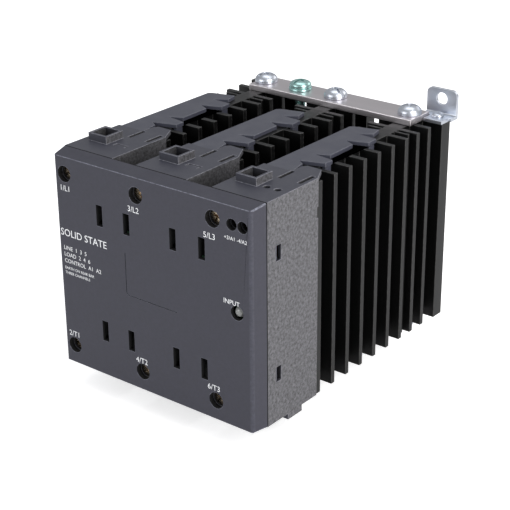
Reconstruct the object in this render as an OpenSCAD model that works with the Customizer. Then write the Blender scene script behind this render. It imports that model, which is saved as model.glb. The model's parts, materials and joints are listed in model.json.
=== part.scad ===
// Three-channel solid state relay on finned heat sinks, for a 35 mm rail.
// Every piece is drawn from the front lower left corner of the cover: X to the right,
// Y from the front face back, Z up. placed() then moves it so that the origin lies on
// the rail seat, at the middle of the width and on the centre line of the rail.

/* [Overall] */
// Distance between the centres of two neighbouring channels
channel_pitch = 41; // [36:0.5:52]
// Width of one channel housing
channel_w = 28; // [27:0.5:34]
// Height of the front cover and the housings
housing_h = 100; // [96:1:125]
// Depth of a housing behind the front cover
housing_d = 34; // [33:0.5:44]

/* [Front cover] */
// Depth of the cover's rim
cover_d = 8.2; // [7.8:0.1:10]
// Wall of the cover
cover_wall = 2; // [1.6:0.1:2.4]
// How far the rim leans in towards the front face
cover_taper = 1.4; // [0.6:0.1:1.8]
// Screwdriver hole over a power screw
access_d = 7.2; // [5.8:0.1:8.4]
// Screwdriver hole over a control screw
control_access_d = 4.9; // [4:0.1:5.2]
// Hole for the indicator lamp
lamp_hole_d = 6.2; // [5.8:0.1:7.2]
// Width of a latch slot
slot_w = 3.2; // [2.6:0.1:3.6]
// Height of a latch slot
slot_h = 9.4; // [7.6:0.2:11.4]
// Height of the lower latches above the cover's lower edge
lower_latch_z = 22.1; // [20.1:0.5:26]
// Height of the upper latches below the cover's upper edge
upper_latch_drop = 23.6; // [21.6:0.5:27]

/* [Housing] */
// Wall of a housing
wall = 1.8; // [1.4:0.1:2.2]
// Outer side of a square wire guide
guide_w = 10.6; // [9.6:0.2:12.6]
// Wall of a wire guide
guide_wall = 1.2; // [0.9:0.1:1.4]
// How far a wire guide stands out
guide_h = 3.5; // [2:0.5:6]
// Depth of the plinth below the lower wire guides
plinth_h = 2.8; // [1:0.2:4]

/* [Terminals] */
// Power screw, thread diameter
screw_d = 5; // [4:0.5:6]
// Power screw, head diameter
screw_head_d = 6.8; // [5.6:0.1:8]
// Travel of a power clamp
clamp_travel = 6.4; // [3.2:0.8:6.4]
// Height of a power clamp
clamp_h = 9.2; // [7.6:0.2:10]
// Sheet thickness of a power clamp
clamp_sheet = 1.1; // [0.9:0.1:1.3]
// Travel of a control clamp
control_travel = 2.7; // [1.8:0.45:2.7]
// Control screw, thread diameter
control_screw_d = 2.5; // [2:0.1:2.8]
// Control screw, head diameter
control_head_d = 4.5; // [3.7:0.1:4.7]
// Distance between the two control screws
control_pitch = 5.5; // [5.2:0.1:6]

/* [Heat sink] */
// How far the housings stand above the heat sinks
sink_drop = 2.3; // [2.1:0.1:4]
// Width of the extrusion
sink_w = 26.6; // [24:0.2:32]
// Thickness of the plate that carries the housing
base_t = 3.6; // [3:0.2:5]
// Thickness of a fin
fin_t = 2.4; // [1.6:0.1:3]
// Spacing of the front fins
fin_pitch = 10.65; // [9:0.05:12.8]
// Spacing of the two rear fins
rear_fin_pitch = 9.3; // [8:0.1:11.2]
// Thickness of the web that joins the fins
web_t = 7.2; // [6.6:0.2:8.8]
// Thickness of the rear flange
flange_t = 6.9; // [6:0.1:8.4]

/* [Tie bars and brackets] */
// Width of a tie bar
bar_w = 16; // [13:0.5:17]
// Thickness of a tie bar
bar_t = 3; // [2:0.5:4]
// Thread diameter of the bar screws and the earth screw
bar_screw_d = 5; // [4:0.5:5]
// Head diameter of the bar screws
bar_head_d = 11; // [9:0.5:12]
// Sheet thickness of a mounting bracket
bracket_t = 1.6; // [1.2:0.1:2]
// Width of a mounting bracket
bracket_w = 15.6; // [14:0.2:18]
// Hole in a mounting bracket
bracket_hole_d = 5.8; // [4.5:0.1:6.6]

/* [Rail clip] */
// Width of the rail
rail_w = 35; // [35:1:35]
// Thickness of the clip's carrier
carrier_t = 7; // [6.6:0.2:9]
// Travel of the latch
latch_travel = 4; // [3:0.5:5]
// Width of the latch
latch_w = 16; // [12:0.5:18]

/* [Hidden] */
$fn = 48;
channels = 3;
total_w = channel_pitch * (channels - 1) + channel_w;
eps = 0.01;
gap = 0.3;                              // clearance between pieces that only lie close
play = 0.2;                             // clearance round a piece that slides
head_play = 0.1;                        // clearance round a screw head
fit = 0.04;                             // radial clearance of a shaft in its bore
front_plate = 2.2;                      // front wall of the cover
seam_y = cover_d;
back_y = seam_y + housing_d;            // seat of a housing on its heat sink
front_fins = 6;
rear_fins = 2;
fin_end_y = back_y + base_t + front_fins * fin_pitch;
flange_y = fin_end_y + rear_fins * rear_fin_pitch + 8.3;
rear_y = flange_y + flange_t;
seat_y = rear_y + carrier_t;
sink_z0 = -0.1;
sink_z1 = housing_h - sink_drop;
mid_z = (sink_z0 + sink_z1) / 2;        // centre line of the rail
sink_x = (channel_w - sink_w) / 2;
flange_over = 0.6;                      // the flange stands out beside the fins
web_x = channel_w / 2;

// terminals, in a channel's own X
nose_inset = cover_wall + gap;
nose_y = seam_y - 1.8;                  // front edge of the housing walls
turret_y = front_plate + 0.4;
terminal_z = 9.2;                       // screw axis above the lower edge and below the upper one
head_y = 3.2;
head_t = 3;
clamp_w = 11;
clamp_x = 8.3;                          // middle of a power clamp
screw_x = 7.2;
guide_x = 8.8;
clamp_front_t = 2.4;                    // threaded wall of a power clamp
clamp_front_y = seam_y + play + clamp_travel;   // its front face, with the clamp open
tongue_y = clamp_front_y + clamp_front_t + 0.4; // front face of a busbar's tongue
tongue_t = 1.6;
tongue_w = 6;
tongue_x = 5.2;
guide_y = tongue_y + tongue_t + 1.3 + guide_w / 2 - guide_wall;
plinth_y0 = guide_y - 2.6;
plinth_y1 = guide_y + 7.1;
clamp_back_y = guide_y + guide_w / 2 - guide_wall - play;
chamber_x0 = clamp_x - clamp_w / 2 - 0.4;
chamber_x1 = clamp_x + clamp_w / 2 + play;
chamber_y1 = clamp_back_y + clamp_sheet + 1.5;
partition_t = 0.8;
shelf_t = 1.2;
shelf_drop = terminal_z + clamp_h / 2 + 1;   // top of the shelf below the upper edge
control_x = [16.9, 16.9 + control_pitch];
control_wire_x = [17.5, 17.5 + control_pitch];
control_sheet = 0.4;
control_front_t = 1.6;
control_front_y = seam_y + 5 + control_travel;
control_pin_y = control_front_y + control_front_t + 0.8;
control_pin_t = 0.8;
control_y = control_pin_y + 3.4;
control_head_t = 2;
control_hole_d = 3;
control_h = 6;
control_screw_z = housing_h - terminal_z;

// latches
tongue_slot_w = 1.8;
mark_w = 0.7;
mark_depth = 0.5;
notch_depth = 1;
arm_t = 1.4;
arm_w = 6.4;
hook_y0 = seam_y + 6;
hook_y1 = seam_y + 8.7;
latch_heights = [lower_latch_z, housing_h - upper_latch_drop];
slot_x = 1.2;                           // middle of a slot from the outer face of a wall
line_w = 0.3;                           // shallow line in the front face
line_depth = 0.15;

// electronics
module_half = 28;                       // half the height of a module base
module_base_t = 2;
module_x = wall + 1.2;                  // side of a module base from the side of its channel
ceramic_t = 1;
die_t = 0.8;
ceramic_y = back_y - module_base_t - ceramic_t;
mid_h = housing_h / 2;
board_t = 1.6;
board_z = lower_latch_z + arm_w / 2 + 2.7;
board_h = housing_h - upper_latch_drop - arm_w / 2 - 3.2 - board_z;
lamp_x = total_w - 8.9;
lamp_z = mid_h + 3.1;
lamp_d = 5;
housing_screw_x = 20.5;
housing_screw_drop = 13;                // from the lower and the upper edge of the housing
housing_screw_d = 3;

// bars, brackets and clip
bar_y = flange_y - 13.6;
bar_x0 = web_x - 4.5;
bar_x1 = total_w - 8.5;
bar_screw_y = bar_y + 8;
earth_x = channel_x(0) + web_x + channel_pitch / 2;
washer_t = 1.2;
bracket_x1 = total_w + 2.8;
bracket_x0 = bracket_x1 - bracket_w;
bracket_hole_x = bracket_x1 - bracket_w / 2;
bar_screw_len = 12;                     // in the heat sink
bar_head_t = 4.4;
strip_t = 1.9;
strip_gap = 0.6;                        // between a strip and its housing
barb_len = 3.2;
bracket_rise = 13.1;                    // top of the tab above the heat sink
bracket_hole_rise = 8.5;
foot_front_y = flange_y - 3.3;
foot_screw_x = bracket_x1 - 7;
foot_screw_y = flange_y + 2.6;
foot_screw_d = 3;
foot_screw_len = 7;
rail_edge = rail_w / 2;
carrier_x = total_w / 2;
carrier_w = sink_w;
latch_y = rear_y + 2.5;
latch_t = 2;
lip_gap = 1.3;                          // slot for the lip of the rail
hook_t = 2.2;
hook_reach = 3;
spring_d = 4.4;
spring_z0 = mid_z - 8;
spring_len = 10;
spring_bar = 3;                         // edge of the latch above the spring
latch_top = spring_z0 + spring_len + spring_bar;
carrier_screw_d = 4;
carrier_head_d = 7.6;
carrier_head_t = 2.8;
carrier_head_y = seat_y - carrier_head_t - 0.4;
carrier_screw_x = carrier_w / 2 - 4.3;
carrier_screw_z = latch_top + 5.2;

function channel_x(i) = i * channel_pitch;

module placed() translate([-total_w / 2, -seat_y, -mid_z]) children();
module channel(i) translate([channel_x(i), 0, 0]) children();
// the lower half of a channel repeats the upper one, turned over
module turned_over(z) translate([0, 0, 2 * z]) mirror([0, 0, 1]) children();
// a box from one corner to the opposite one
module block(a, b) translate(a) cube([b[0] - a[0], b[1] - a[1], b[2] - a[2]]);
// a bar along +Y
module rod(d, x, y0, y1, z) translate([x, y0, z]) rotate([-90, 0, 0]) cylinder(d = d, h = y1 - y0);

module cross_recess(w, depth, arm) {
    translate([-w / 2, -arm / 2, -depth]) cube([w, arm, depth + 1]);
    translate([-arm / 2, -w / 2, -depth]) cube([arm, w, depth + 1]);
}

// pan head with its flat side on z = 0 and a shank below it
module pan_screw(head_d, head_h, shank_d, shank_len) {
    difference() {
        union() {
            rotate_extrude()
                intersection() {
                    translate([0, 0]) square([head_d / 2, head_h]);
                    translate([0, head_h - head_d * 0.72]) circle(r = head_d * 0.72, $fn = 96);
                }
            translate([0, 0, -shank_len]) cylinder(d = shank_d, h = shank_len + eps);
        }
        translate([0, 0, head_h]) cross_recess(head_d * 0.5, head_h * 0.5, head_d * 0.12);
    }
}

// ---- front cover ----
module cover_hook(x, side) {
    // side is +1 where the hook points to +X
    for (z = latch_heights) {
        block([min(x, x - side * arm_t), front_plate - eps, z - arm_w / 2],
              [max(x, x - side * arm_t), hook_y1, z + arm_w / 2]);
        translate([x, 0, z - arm_w / 2]) scale([side, 1, 1])
            linear_extrude(arm_w)
                polygon([[-eps, hook_y0], [hook_len(x), hook_y0], [hook_len(x), hook_y0 + 0.8],
                         [0.4, hook_y1], [-eps, hook_y1]]);
    }
}
function inner_arm_x() = slot_x + slot_w / 2;
function outer_arm_x() = nose_inset + wall + play;
// a hook ends inside the window of the wall that it holds
function is_outer(x) = x < channel_w / 2 || x > total_w - channel_w / 2;
function hook_len(x) = (is_outer(x) ? outer_arm_x() : inner_arm_x()) - 0.5;

// corner of a shallow line round the label field
module witness_line() {
    x0 = total_w / 2 - 14.4;
    z0 = mid_h - 6.4;
    corner = 1.5;
    block([x0, -1, z0 + corner], [x0 + line_w, line_depth, z0 + 19.5]);
    block([x0 + corner, -1, z0], [x0 + 28.4, line_depth, z0 + line_w]);
    translate([x0 + corner, line_depth, z0 + corner]) rotate([90, 0, 0])
        intersection() {
            difference() {
                cylinder(r = corner, h = line_depth + 1);
                translate([0, 0, -1]) cylinder(r = corner - line_w, h = line_depth + 3);
            }
            translate([-corner, -corner, -1]) cube([corner, corner, line_depth + 3]);
        }
}

module front_cover() color("#50505a") placed()
    difference() {
        union() {
            difference() {
                intersection() {
                    rotate([90, 0, 90]) linear_extrude(total_w)
                        polygon([[0, 0.3], [seam_y, 0], [seam_y, housing_h], [0, housing_h - cover_taper]]);
                    linear_extrude(housing_h)
                        polygon([[cover_taper, 0], [total_w - cover_taper, 0],
                                 [total_w, seam_y], [0, seam_y]]);
                }
                block([cover_wall, front_plate, cover_wall],
                      [total_w - cover_wall, seam_y + 1, housing_h - cover_wall]);
            }
            cover_hook(outer_arm_x(), -1);
            cover_hook(total_w - outer_arm_x(), 1);
            for (i = [0 : channels - 2]) {
                cover_hook(channel_x(i) + channel_w - inner_arm_x(), 1);
                cover_hook(channel_x(i + 1) + inner_arm_x(), -1);
            }
            for (x = [10, total_w - 20], z = [board_z + 6, board_z + board_h - 6])
                rod(4, x, front_plate - eps, nose_y - board_t, z);
        }
        for (i = [0 : channels - 1], z = [terminal_z, housing_h - terminal_z])
            rod(access_d, channel_x(i) + screw_x, -1, front_plate + 1, z);
        for (x = control_x)
            rod(control_access_d, channel_x(channels - 1) + x, -1, front_plate + 1, housing_h - terminal_z);
        rod(lamp_hole_d, lamp_x, -1, front_plate + 1, lamp_z);
        for (i = [0 : channels - 2], z = latch_heights,
             x = [channel_x(i) + channel_w - slot_x, channel_x(i + 1) + slot_x])
            block([x - slot_w / 2, -1, z - slot_h / 2], [x + slot_w / 2, front_plate + 1, z + slot_h / 2]);
        witness_line();
    }

// ---- channel housings ----
module housing_top_wall(i) {
    // turret round the screw heads, shelf, partition and wire guide of the upper end
    turret_x1 = i == channels - 1 ? channel_w - nose_inset : chamber_x1 + partition_t;
    turret_x0 = i == 0 ? nose_inset : 0;
    top = housing_h - nose_inset;
    block([turret_x0, turret_y, housing_h - shelf_drop - shelf_t], [turret_x1, seam_y + eps, top]);
    block([wall - eps, seam_y, housing_h - shelf_drop - shelf_t],
          [channel_w - wall + eps, chamber_y1, housing_h - shelf_drop]);
    block([chamber_x1, seam_y, housing_h - shelf_drop - eps],
          [chamber_x1 + partition_t, chamber_y1, housing_h - wall + eps]);
    translate([guide_x - guide_w / 2, guide_y - guide_w / 2, housing_h - eps])
        cube([guide_w, guide_w, guide_h + eps]);
}

module housing_top_cuts(i) {
    screw_z = housing_h - terminal_z;
    inner = guide_w - 2 * guide_wall;
    rod(screw_head_d + 2 * head_play, screw_x, turret_y - 1, head_y + head_t + play, screw_z);
    rod(screw_d + 2 * play, screw_x, head_y + head_t, seam_y + 3, screw_z);
    translate([guide_x - inner / 2, guide_y - inner / 2, housing_h - wall - 4])
        cube([inner, inner, wall + guide_h + 5]);
    block([tongue_x - play, tongue_y - play, housing_h - shelf_drop - shelf_t - 1],
          [tongue_x + tongue_w + play, tongue_y + tongue_t + play, housing_h - shelf_drop + 1]);
}

// springy tongue of the top wall that reaches over the end of the heat sink
module tongue_shape()
    translate([0, 0, sink_z1 + play]) linear_extrude(housing_h - sink_z1 - play)
        polygon([[14.6, back_y - 1], [channel_w - 0.4, back_y - 1], [channel_w - 0.4, back_y],
                 [channel_w - 4.6, back_y + 8.2], [16, back_y + 8.6], [14.6, back_y + 6.4]]);
module tongue_slots()
    for (x = [15.2, channel_w - 2.7])
        block([x - tongue_slot_w / 2, back_y - 9.8, housing_h - wall - 1],
              [x + tongue_slot_w / 2, back_y + eps, housing_h + 1]);

module control_cuts() {
    for (k = [0, 1]) {
        x = control_x[k];
        half = control_pin_t / 2 + play;
        head_back = head_y + control_head_t;
        rod(control_head_d + 2 * head_play, x, turret_y - 1, head_back + play, control_screw_z);
        rod(control_screw_d + 2 * play, x, head_back, seam_y + 3, control_screw_z);
        translate([control_wire_x[k], control_y, housing_h - wall - 1])
            cylinder(d = control_hole_d, h = wall + 2);
        block([x - half, control_pin_y - play, housing_h - shelf_drop - shelf_t - 1],
              [x + half, control_pin_y + 1 + play, housing_h - shelf_drop + 1]);
    }
}

// outline of a control entry that is left closed
module blank_mark()
    translate([16.6, control_y - 1, housing_h - mark_depth])
        difference() {
            cube([7, 2.6, 1]);
            translate([mark_w, -eps, -1]) cube([7 - 2 * mark_w, 2.6 - mark_w, 3]);
        }

// shallow notches at the back edge of both sides
module edge_notches()
    for (x = [-1, channel_w - notch_depth])
        block([x, back_y - 0.9, housing_h - 17.4], [x + 1 + notch_depth, back_y + eps, housing_h - 12.6]);

module housing(i) color("#64646c") placed() channel(i) {
    nose_x0 = i == 0 ? nose_inset : 0;
    nose_x1 = i == channels - 1 ? channel_w - nose_inset : channel_w;
    difference() {
        union() {
            difference() {
                union() {
                    block([0, seam_y, 0], [channel_w, back_y, housing_h]);
                    block([0, plinth_y0, -plinth_h], [channel_w, plinth_y1, eps]);
                    block([nose_x0, nose_y, nose_inset], [nose_x1, seam_y + eps, housing_h - nose_inset]);
                }
                block([nose_x0 + wall, nose_y - 1, nose_inset + wall],
                      [nose_x1 - wall, seam_y + wall + eps, housing_h - nose_inset - wall]);
                block([wall, seam_y + wall, wall],
                      [channel_w - wall, back_y - module_base_t, housing_h - wall]);
            }
            housing_top_wall(i);
            turned_over(mid_h) housing_top_wall(i);
            tongue_shape();
        }
        housing_top_cuts(i);
        turned_over(mid_h) housing_top_cuts(i);
        tongue_slots();
        edge_notches();
        // clear way for the power clamps
        for (z = [housing_h - shelf_drop, nose_inset + wall])
            block([chamber_x0, seam_y, z],
                  [chamber_x1, seam_y + wall + 1, z + shelf_drop - nose_inset - wall]);
        block([module_x - play, back_y - module_base_t - 1, mid_h - module_half - play],
              [channel_w - module_x + play, back_y + 1, mid_h + module_half + play]);
        // windows for the hooks of the cover
        for (z = latch_heights)
            block([-1, hook_y0 - play, z - arm_w / 2 - play],
                  [channel_w + 1, hook_y1 + gap, z + arm_w / 2 + play]);
        for (z = [housing_screw_drop, housing_h - housing_screw_drop])
            rod(housing_screw_d + 2 * play, housing_screw_x, back_y - module_base_t - 1, back_y + 1, z);
        if (i == channels - 1) control_cuts();
        else blank_mark();
    }
}

// ---- heat sinks ----
function fin_back(k) = back_y + base_t + k * fin_pitch;
module sink_profile() {
    translate([sink_x, back_y]) square([sink_w, base_t]);
    translate([web_x - web_t / 2, back_y]) square([web_t, rear_y - back_y]);
    for (k = [1 : front_fins]) translate([sink_x, fin_back(k) - fin_t]) square([sink_w, fin_t]);
    for (k = [1 : rear_fins])
        translate([sink_x, fin_end_y + k * rear_fin_pitch - fin_t]) square([sink_w, fin_t]);
    translate([sink_x + 2.5, fin_end_y + 3.6]) square([sink_w - 5, 1.2]);
    translate([sink_x - flange_over, flange_y]) square([sink_w + 2 * flange_over, flange_t]);
}

module heat_sink(i) color("#26262a") placed()
    difference() {
        channel(i) translate([0, 0, sink_z0]) linear_extrude(sink_z1 - sink_z0) sink_profile();
        channel(i) {
            for (z = [housing_screw_drop, housing_h - housing_screw_drop])
                rod(housing_screw_d + 2 * fit, housing_screw_x, back_y - 1, back_y + base_t + 1, z);
            translate([web_x, bar_screw_y, sink_z1 - bar_screw_len - 2])
                cylinder(d = bar_screw_d + 2 * fit, h = bar_screw_len + 3);
            translate([web_x, bar_screw_y, sink_z0 - 1])
                cylinder(d = bar_screw_d + 2 * fit, h = bar_screw_len + 3);
        }
        if (i == channels - 1)
            translate([foot_screw_x, foot_screw_y, sink_z1 - foot_screw_len - 2])
                cylinder(d = foot_screw_d + 2 * fit, h = foot_screw_len + 3);
        if (i == 0)
            translate([total_w - foot_screw_x, foot_screw_y, sink_z0 - 1])
                cylinder(d = foot_screw_d + 2 * fit, h = foot_screw_len + 3);
        if (i == 1)
            for (s = [-1, 1])
                rod(carrier_screw_d + 2 * fit, carrier_x + s * carrier_screw_x,
                    rear_y - 6, rear_y + 1, carrier_screw_z);
    }

// ---- strips over the ends of the heat sinks ----
module strip_shape() {
    y1 = fin_back(1);                   // the barbs drop into the gaps behind fins 1 and 4
    y4 = fin_back(4);
    polygon([[sink_x, back_y + strip_gap], [14, back_y + strip_gap], [14, back_y + 2], [12.3, y1 - 4],
        [9, y1 - 1.8], [19.8, y1 + 1.8], [19.8, y1 + 6.8], [9.5, y1 + 8.2], [15.7, y1 + 11],
        [15.4, y4 - 4.2], [10.3, y4 - 1.8], [19.8, y4 + 1.6], [19.4, y4 + 7.8], [9.5, y4 + 8.4],
        [15, y4 + 12.4], [13.7, y4 + 18.6], [sink_x + 1.5, y4 + 15.6], [sink_x, y4 + 14.2]]);
}
module strip(i) channel(i) {
    translate([0, 0, sink_z1]) linear_extrude(strip_t) strip_shape();
    for (y = [fin_back(1), fin_back(4)])
        translate([0, 0, sink_z1 - barb_len]) linear_extrude(barb_len + eps)
            polygon([[18, y + 1.9], [19.6, y + 2.2], [19.3, y + 6.4], [18, y + 6.6]]);
}
module top_strip(i) color("#6e6e76") placed() strip(i);
module bottom_strip(i) color("#6e6e76") placed() turned_over(mid_z) strip(i);

// ---- power and control terminals ----
module terminal_screw(x, z, d, head_d, head_h, tip_y)
    translate([x, head_y, z]) rotate([-90, 0, 0])
        difference() {
            union() {
                cylinder(d = head_d, h = head_h);
                cylinder(d = d, h = tip_y - head_y);
            }
            rotate([180, 0, 0]) cross_recess(head_d * 0.62, head_h * 0.5, head_d * 0.17);
        }
module power_screw(i, z) color("#c8a468") placed()
    channel(i) terminal_screw(screw_x, z, screw_d, screw_head_d, head_t, tongue_y - play);
module line_screw(i) power_screw(i, housing_h - terminal_z);
module load_screw(i) power_screw(i, terminal_z);

// closed frame of bent sheet with a thick threaded front wall
module clamp_frame(x, z, w, h, sheet, front_y, front_t, back_in_y, thread_x, thread_d)
    difference() {
        block([x - w / 2, front_y, z - h / 2], [x + w / 2, back_in_y + sheet, z + h / 2]);
        block([x - w / 2 + sheet, front_y + front_t, z - h], [x + w / 2 - sheet, back_in_y, z + h]);
        rod(thread_d + 2 * fit, thread_x, front_y - 1, front_y + front_t + 1, z);
    }
module power_clamp(i, z) color("#b8b8bc") placed()
    channel(i) clamp_frame(clamp_x, z, clamp_w, clamp_h, clamp_sheet, clamp_front_y, clamp_front_t,
                           clamp_back_y, screw_x, screw_d);
module line_clamp(i) power_clamp(i, housing_h - terminal_z);
module load_clamp(i) power_clamp(i, terminal_z);

module control_screw(k) color("#c8a468") placed()
    channel(channels - 1)
        terminal_screw(control_x[k], control_screw_z, control_screw_d, control_head_d, control_head_t,
                       control_pin_y - play);
module control_clamp(k) color("#b8b8bc") placed() {
    x0 = control_x[k] - control_screw_d / 2 - play - control_sheet;
    x1 = control_wire_x[k] + 1.4 + control_sheet;
    channel(channels - 1)
        clamp_frame((x0 + x1) / 2, control_screw_z, x1 - x0, control_h, control_sheet,
                    control_front_y, control_front_t, control_y + 1.9, control_x[k], control_screw_d);
}
// flat pins that the control wires are clamped to, down to the board
module control_pins() color("#c8a468") placed() {
    pin_z = board_z + board_h - 4;
    channel(channels - 1) for (x = control_x) {
        block([x - control_pin_t / 2, control_pin_y, pin_z],
              [x + control_pin_t / 2, control_pin_y + 1, control_screw_z + 4]);
        block([x - control_pin_t / 2, nose_y, pin_z],
              [x + control_pin_t / 2, control_pin_y + eps, pin_z + 1.4]);
    }
}

// ---- power path ----
module busbar() {
    foot_z = mid_h + 12;
    block([tongue_x, tongue_y, foot_z + 8],
          [tongue_x + tongue_w, tongue_y + tongue_t, housing_h - terminal_z + 4.4]);
    block([tongue_x, tongue_y, foot_z + 8], [tongue_x + tongue_w, ceramic_y, foot_z + 8 + tongue_t]);
    block([tongue_x, ceramic_y - tongue_t, foot_z], [tongue_x + tongue_w, ceramic_y, foot_z + 8 + eps]);
}
module line_busbar(i) color("#b87333") placed() channel(i) busbar();
module load_busbar(i) color("#b87333") placed() channel(i) turned_over(mid_h) busbar();
module module_base(i) color("#c98a4b") placed()
    channel(i) block([module_x, back_y - module_base_t, mid_h - module_half],
                     [channel_w - module_x, back_y, mid_h + module_half]);
module ceramic_plates() color("white") placed()
    for (i = [0 : channels - 1]) channel(i)
        block([module_x + 1, ceramic_y, mid_h - module_half + 2],
              [channel_w - module_x - 1, ceramic_y + ceramic_t, mid_h + module_half - 2]);
module thyristor_dies() color("#707880") placed()
    for (i = [0 : channels - 1], z = [mid_h - 9, mid_h + 2]) channel(i)
        block([7.5, ceramic_y - die_t, z], [15.5, ceramic_y, z + 7]);
// coated disc with two leads to the ceramic plate
module varistors() color("#2f6fb0") placed()
    for (i = [0 : channels - 1]) channel(i) {
        rod(11, 19.5, ceramic_y - 14.2, ceramic_y - 10.2, mid_h);
        for (z = [mid_h - 3, mid_h + 3]) rod(0.9, 20.5, ceramic_y - 10.2 - eps, ceramic_y, z);
    }

// ---- control electronics ----
module control_board() color("#1f6b3c") placed()
    block([4, nose_y - board_t, board_z], [total_w - 4, nose_y, board_z + board_h]);
module optocouplers() color("#202022") placed()
    for (i = [0 : channels - 1]) channel(i)
        block([10, nose_y, mid_h + 6], [17, nose_y + 3.5, mid_h + 15]);
module indicator_lamp() color("#d8dadc") placed()
    translate([lamp_x, nose_y - board_t, lamp_z]) rotate([90, 0, 0]) {
        cylinder(d = lamp_d + 0.8, h = 1);
        cylinder(d = lamp_d, h = 1.9);
        translate([0, 0, 1.9])
            intersection() {
                sphere(d = lamp_d);
                translate([0, 0, -eps]) cylinder(d = lamp_d + 1, h = lamp_d);
            }
    }
module housing_screws() color("silver") placed()
    for (i = [0 : channels - 1], z = [housing_screw_drop, housing_h - housing_screw_drop])
        channel(i) translate([housing_screw_x, back_y - module_base_t, z]) rotate([90, 0, 0])
            pan_screw(5.6, 2, housing_screw_d, module_base_t + base_t);

// ---- tie bars ----
module tie_bar(z)
    difference() {
        block([bar_x0, bar_y, z], [bar_x1, bar_y + bar_w, z + bar_t]);
        for (i = [0 : channels - 1])
            translate([channel_x(i) + web_x, bar_screw_y, z - 1])
                cylinder(d = bar_screw_d + 2 * gap, h = bar_t + 2);
        if (z > mid_z)
            translate([earth_x, bar_screw_y, z - 1]) cylinder(d = bar_screw_d + 2 * fit, h = bar_t + 2);
    }
module top_tie_bar() color("#b4acaf") placed() tie_bar(sink_z1);
module bottom_tie_bar() color("#b4acaf") placed() tie_bar(sink_z0 - bar_t);
module bar_screws() color("#c4cad4") placed()
    for (i = [0 : channels - 1]) channel(i) translate([web_x, bar_screw_y, 0]) {
        translate([0, 0, sink_z1 + bar_t])
            pan_screw(bar_head_d, bar_head_t, bar_screw_d, bar_t + bar_screw_len);
        translate([0, 0, sink_z0 - bar_t]) rotate([180, 0, 0])
            pan_screw(bar_head_d, bar_head_t, bar_screw_d, bar_t + bar_screw_len);
    }
module earth_screw() color("#3f9f86") placed()
    translate([earth_x, bar_screw_y, sink_z1 + bar_t + washer_t])
        pan_screw(10.4, 3.4, bar_screw_d, washer_t + bar_t + 7);
module earth_washer() color("#58a892") placed()
    translate([earth_x, bar_screw_y, sink_z1 + bar_t])
        difference() {
            cylinder(d = 11, h = washer_t);
            translate([0, 0, -1]) cylinder(d = bar_screw_d + 2 * fit, h = washer_t + 2);
        }

// ---- mounting brackets ----
module bracket() {
    corner_r = 2.6;
    z0 = sink_z1;
    difference() {
        union() {
            // foot beside and behind the end of the tie bar
            block([bracket_x0, bar_y + bar_w + gap, z0], [bracket_x1, rear_y + bracket_t, z0 + bracket_t]);
            block([bar_x1 + gap, foot_front_y, z0], [bracket_x1 - 1.4, rear_y, z0 + bracket_t]);
            translate([0, rear_y + bracket_t, 0]) rotate([90, 0, 0]) linear_extrude(bracket_t) {
                translate([bracket_x0, z0]) square([bracket_w, bracket_rise - corner_r]);
                translate([bracket_x0 + corner_r, z0]) square([bracket_w - 2 * corner_r, bracket_rise]);
                for (x = [bracket_x0 + corner_r, bracket_x1 - corner_r])
                    translate([x, z0 + bracket_rise - corner_r]) circle(r = corner_r);
            }
        }
        rod(bracket_hole_d, bracket_hole_x, rear_y - 1, rear_y + bracket_t + 1, z0 + bracket_hole_rise);
        translate([foot_screw_x, foot_screw_y, z0 - 1])
            cylinder(d = foot_screw_d + 2 * play, h = bracket_t + 2);
    }
}
// the lower bracket is the same piece at the opposite corner
module opposite_corner() translate([total_w, 0, 2 * mid_z]) rotate([0, 180, 0]) children();
module foot_screw()
    translate([foot_screw_x, foot_screw_y, sink_z1 + bracket_t])
        pan_screw(5.4, 1.6, foot_screw_d, bracket_t + foot_screw_len);
module top_bracket() color("#b9c1cb") placed() bracket();
module bottom_bracket() color("#b9c1cb") placed() opposite_corner() bracket();
module bracket_screws() color("#c4cad4") placed() {
    foot_screw();
    opposite_corner() foot_screw();
}

// ---- rail clip ----
module rail_carrier() color("#8f959d") placed() {
    x0 = carrier_x - carrier_w / 2;
    x1 = carrier_x + carrier_w / 2;
    lw = latch_w / 2 + play;
    low = mid_z - rail_edge - 8;
    top = mid_z + rail_edge + 3.2;
    difference() {
        union() {
            block([x0, rear_y, low], [x1, seat_y, top]);
            // fixed hook over the upper lip of the rail
            block([x0, seat_y - eps, mid_z + rail_edge + play], [x1, seat_y + lip_gap + hook_t, top]);
            block([x0, seat_y + lip_gap, mid_z + rail_edge - hook_reach],
                  [x1, seat_y + lip_gap + hook_t, mid_z + rail_edge + play + eps]);
        }
        difference() {
            block([carrier_x - lw, latch_y - play, low - 1],
                  [carrier_x + lw, latch_y + latch_t + play, latch_top + 0.8]);
            block([carrier_x - 2.4, latch_y - play - 1, spring_z0 - 2.2],
                  [carrier_x + 2.4, latch_y + latch_t + 1, spring_z0]);
        }
        // way for the hook of the latch
        block([carrier_x - lw, latch_y, low - 1], [carrier_x + lw, seat_y + 1, mid_z - rail_edge + 0.6]);
        // pocket for the spring
        block([carrier_x - 2.6, latch_y + latch_t / 2 - 2.6, spring_z0],
              [carrier_x + 2.6, latch_y + latch_t / 2 + 2.6, spring_z0 + spring_len + 1]);
        for (s = [-1, 1]) {
            x = carrier_x + s * carrier_screw_x;
            rod(carrier_screw_d + 2 * play, x, rear_y - 1, seat_y + 1, carrier_screw_z);
            rod(carrier_head_d + 2 * gap, x, carrier_head_y, seat_y + 1, carrier_screw_z);
        }
    }
}
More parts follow.
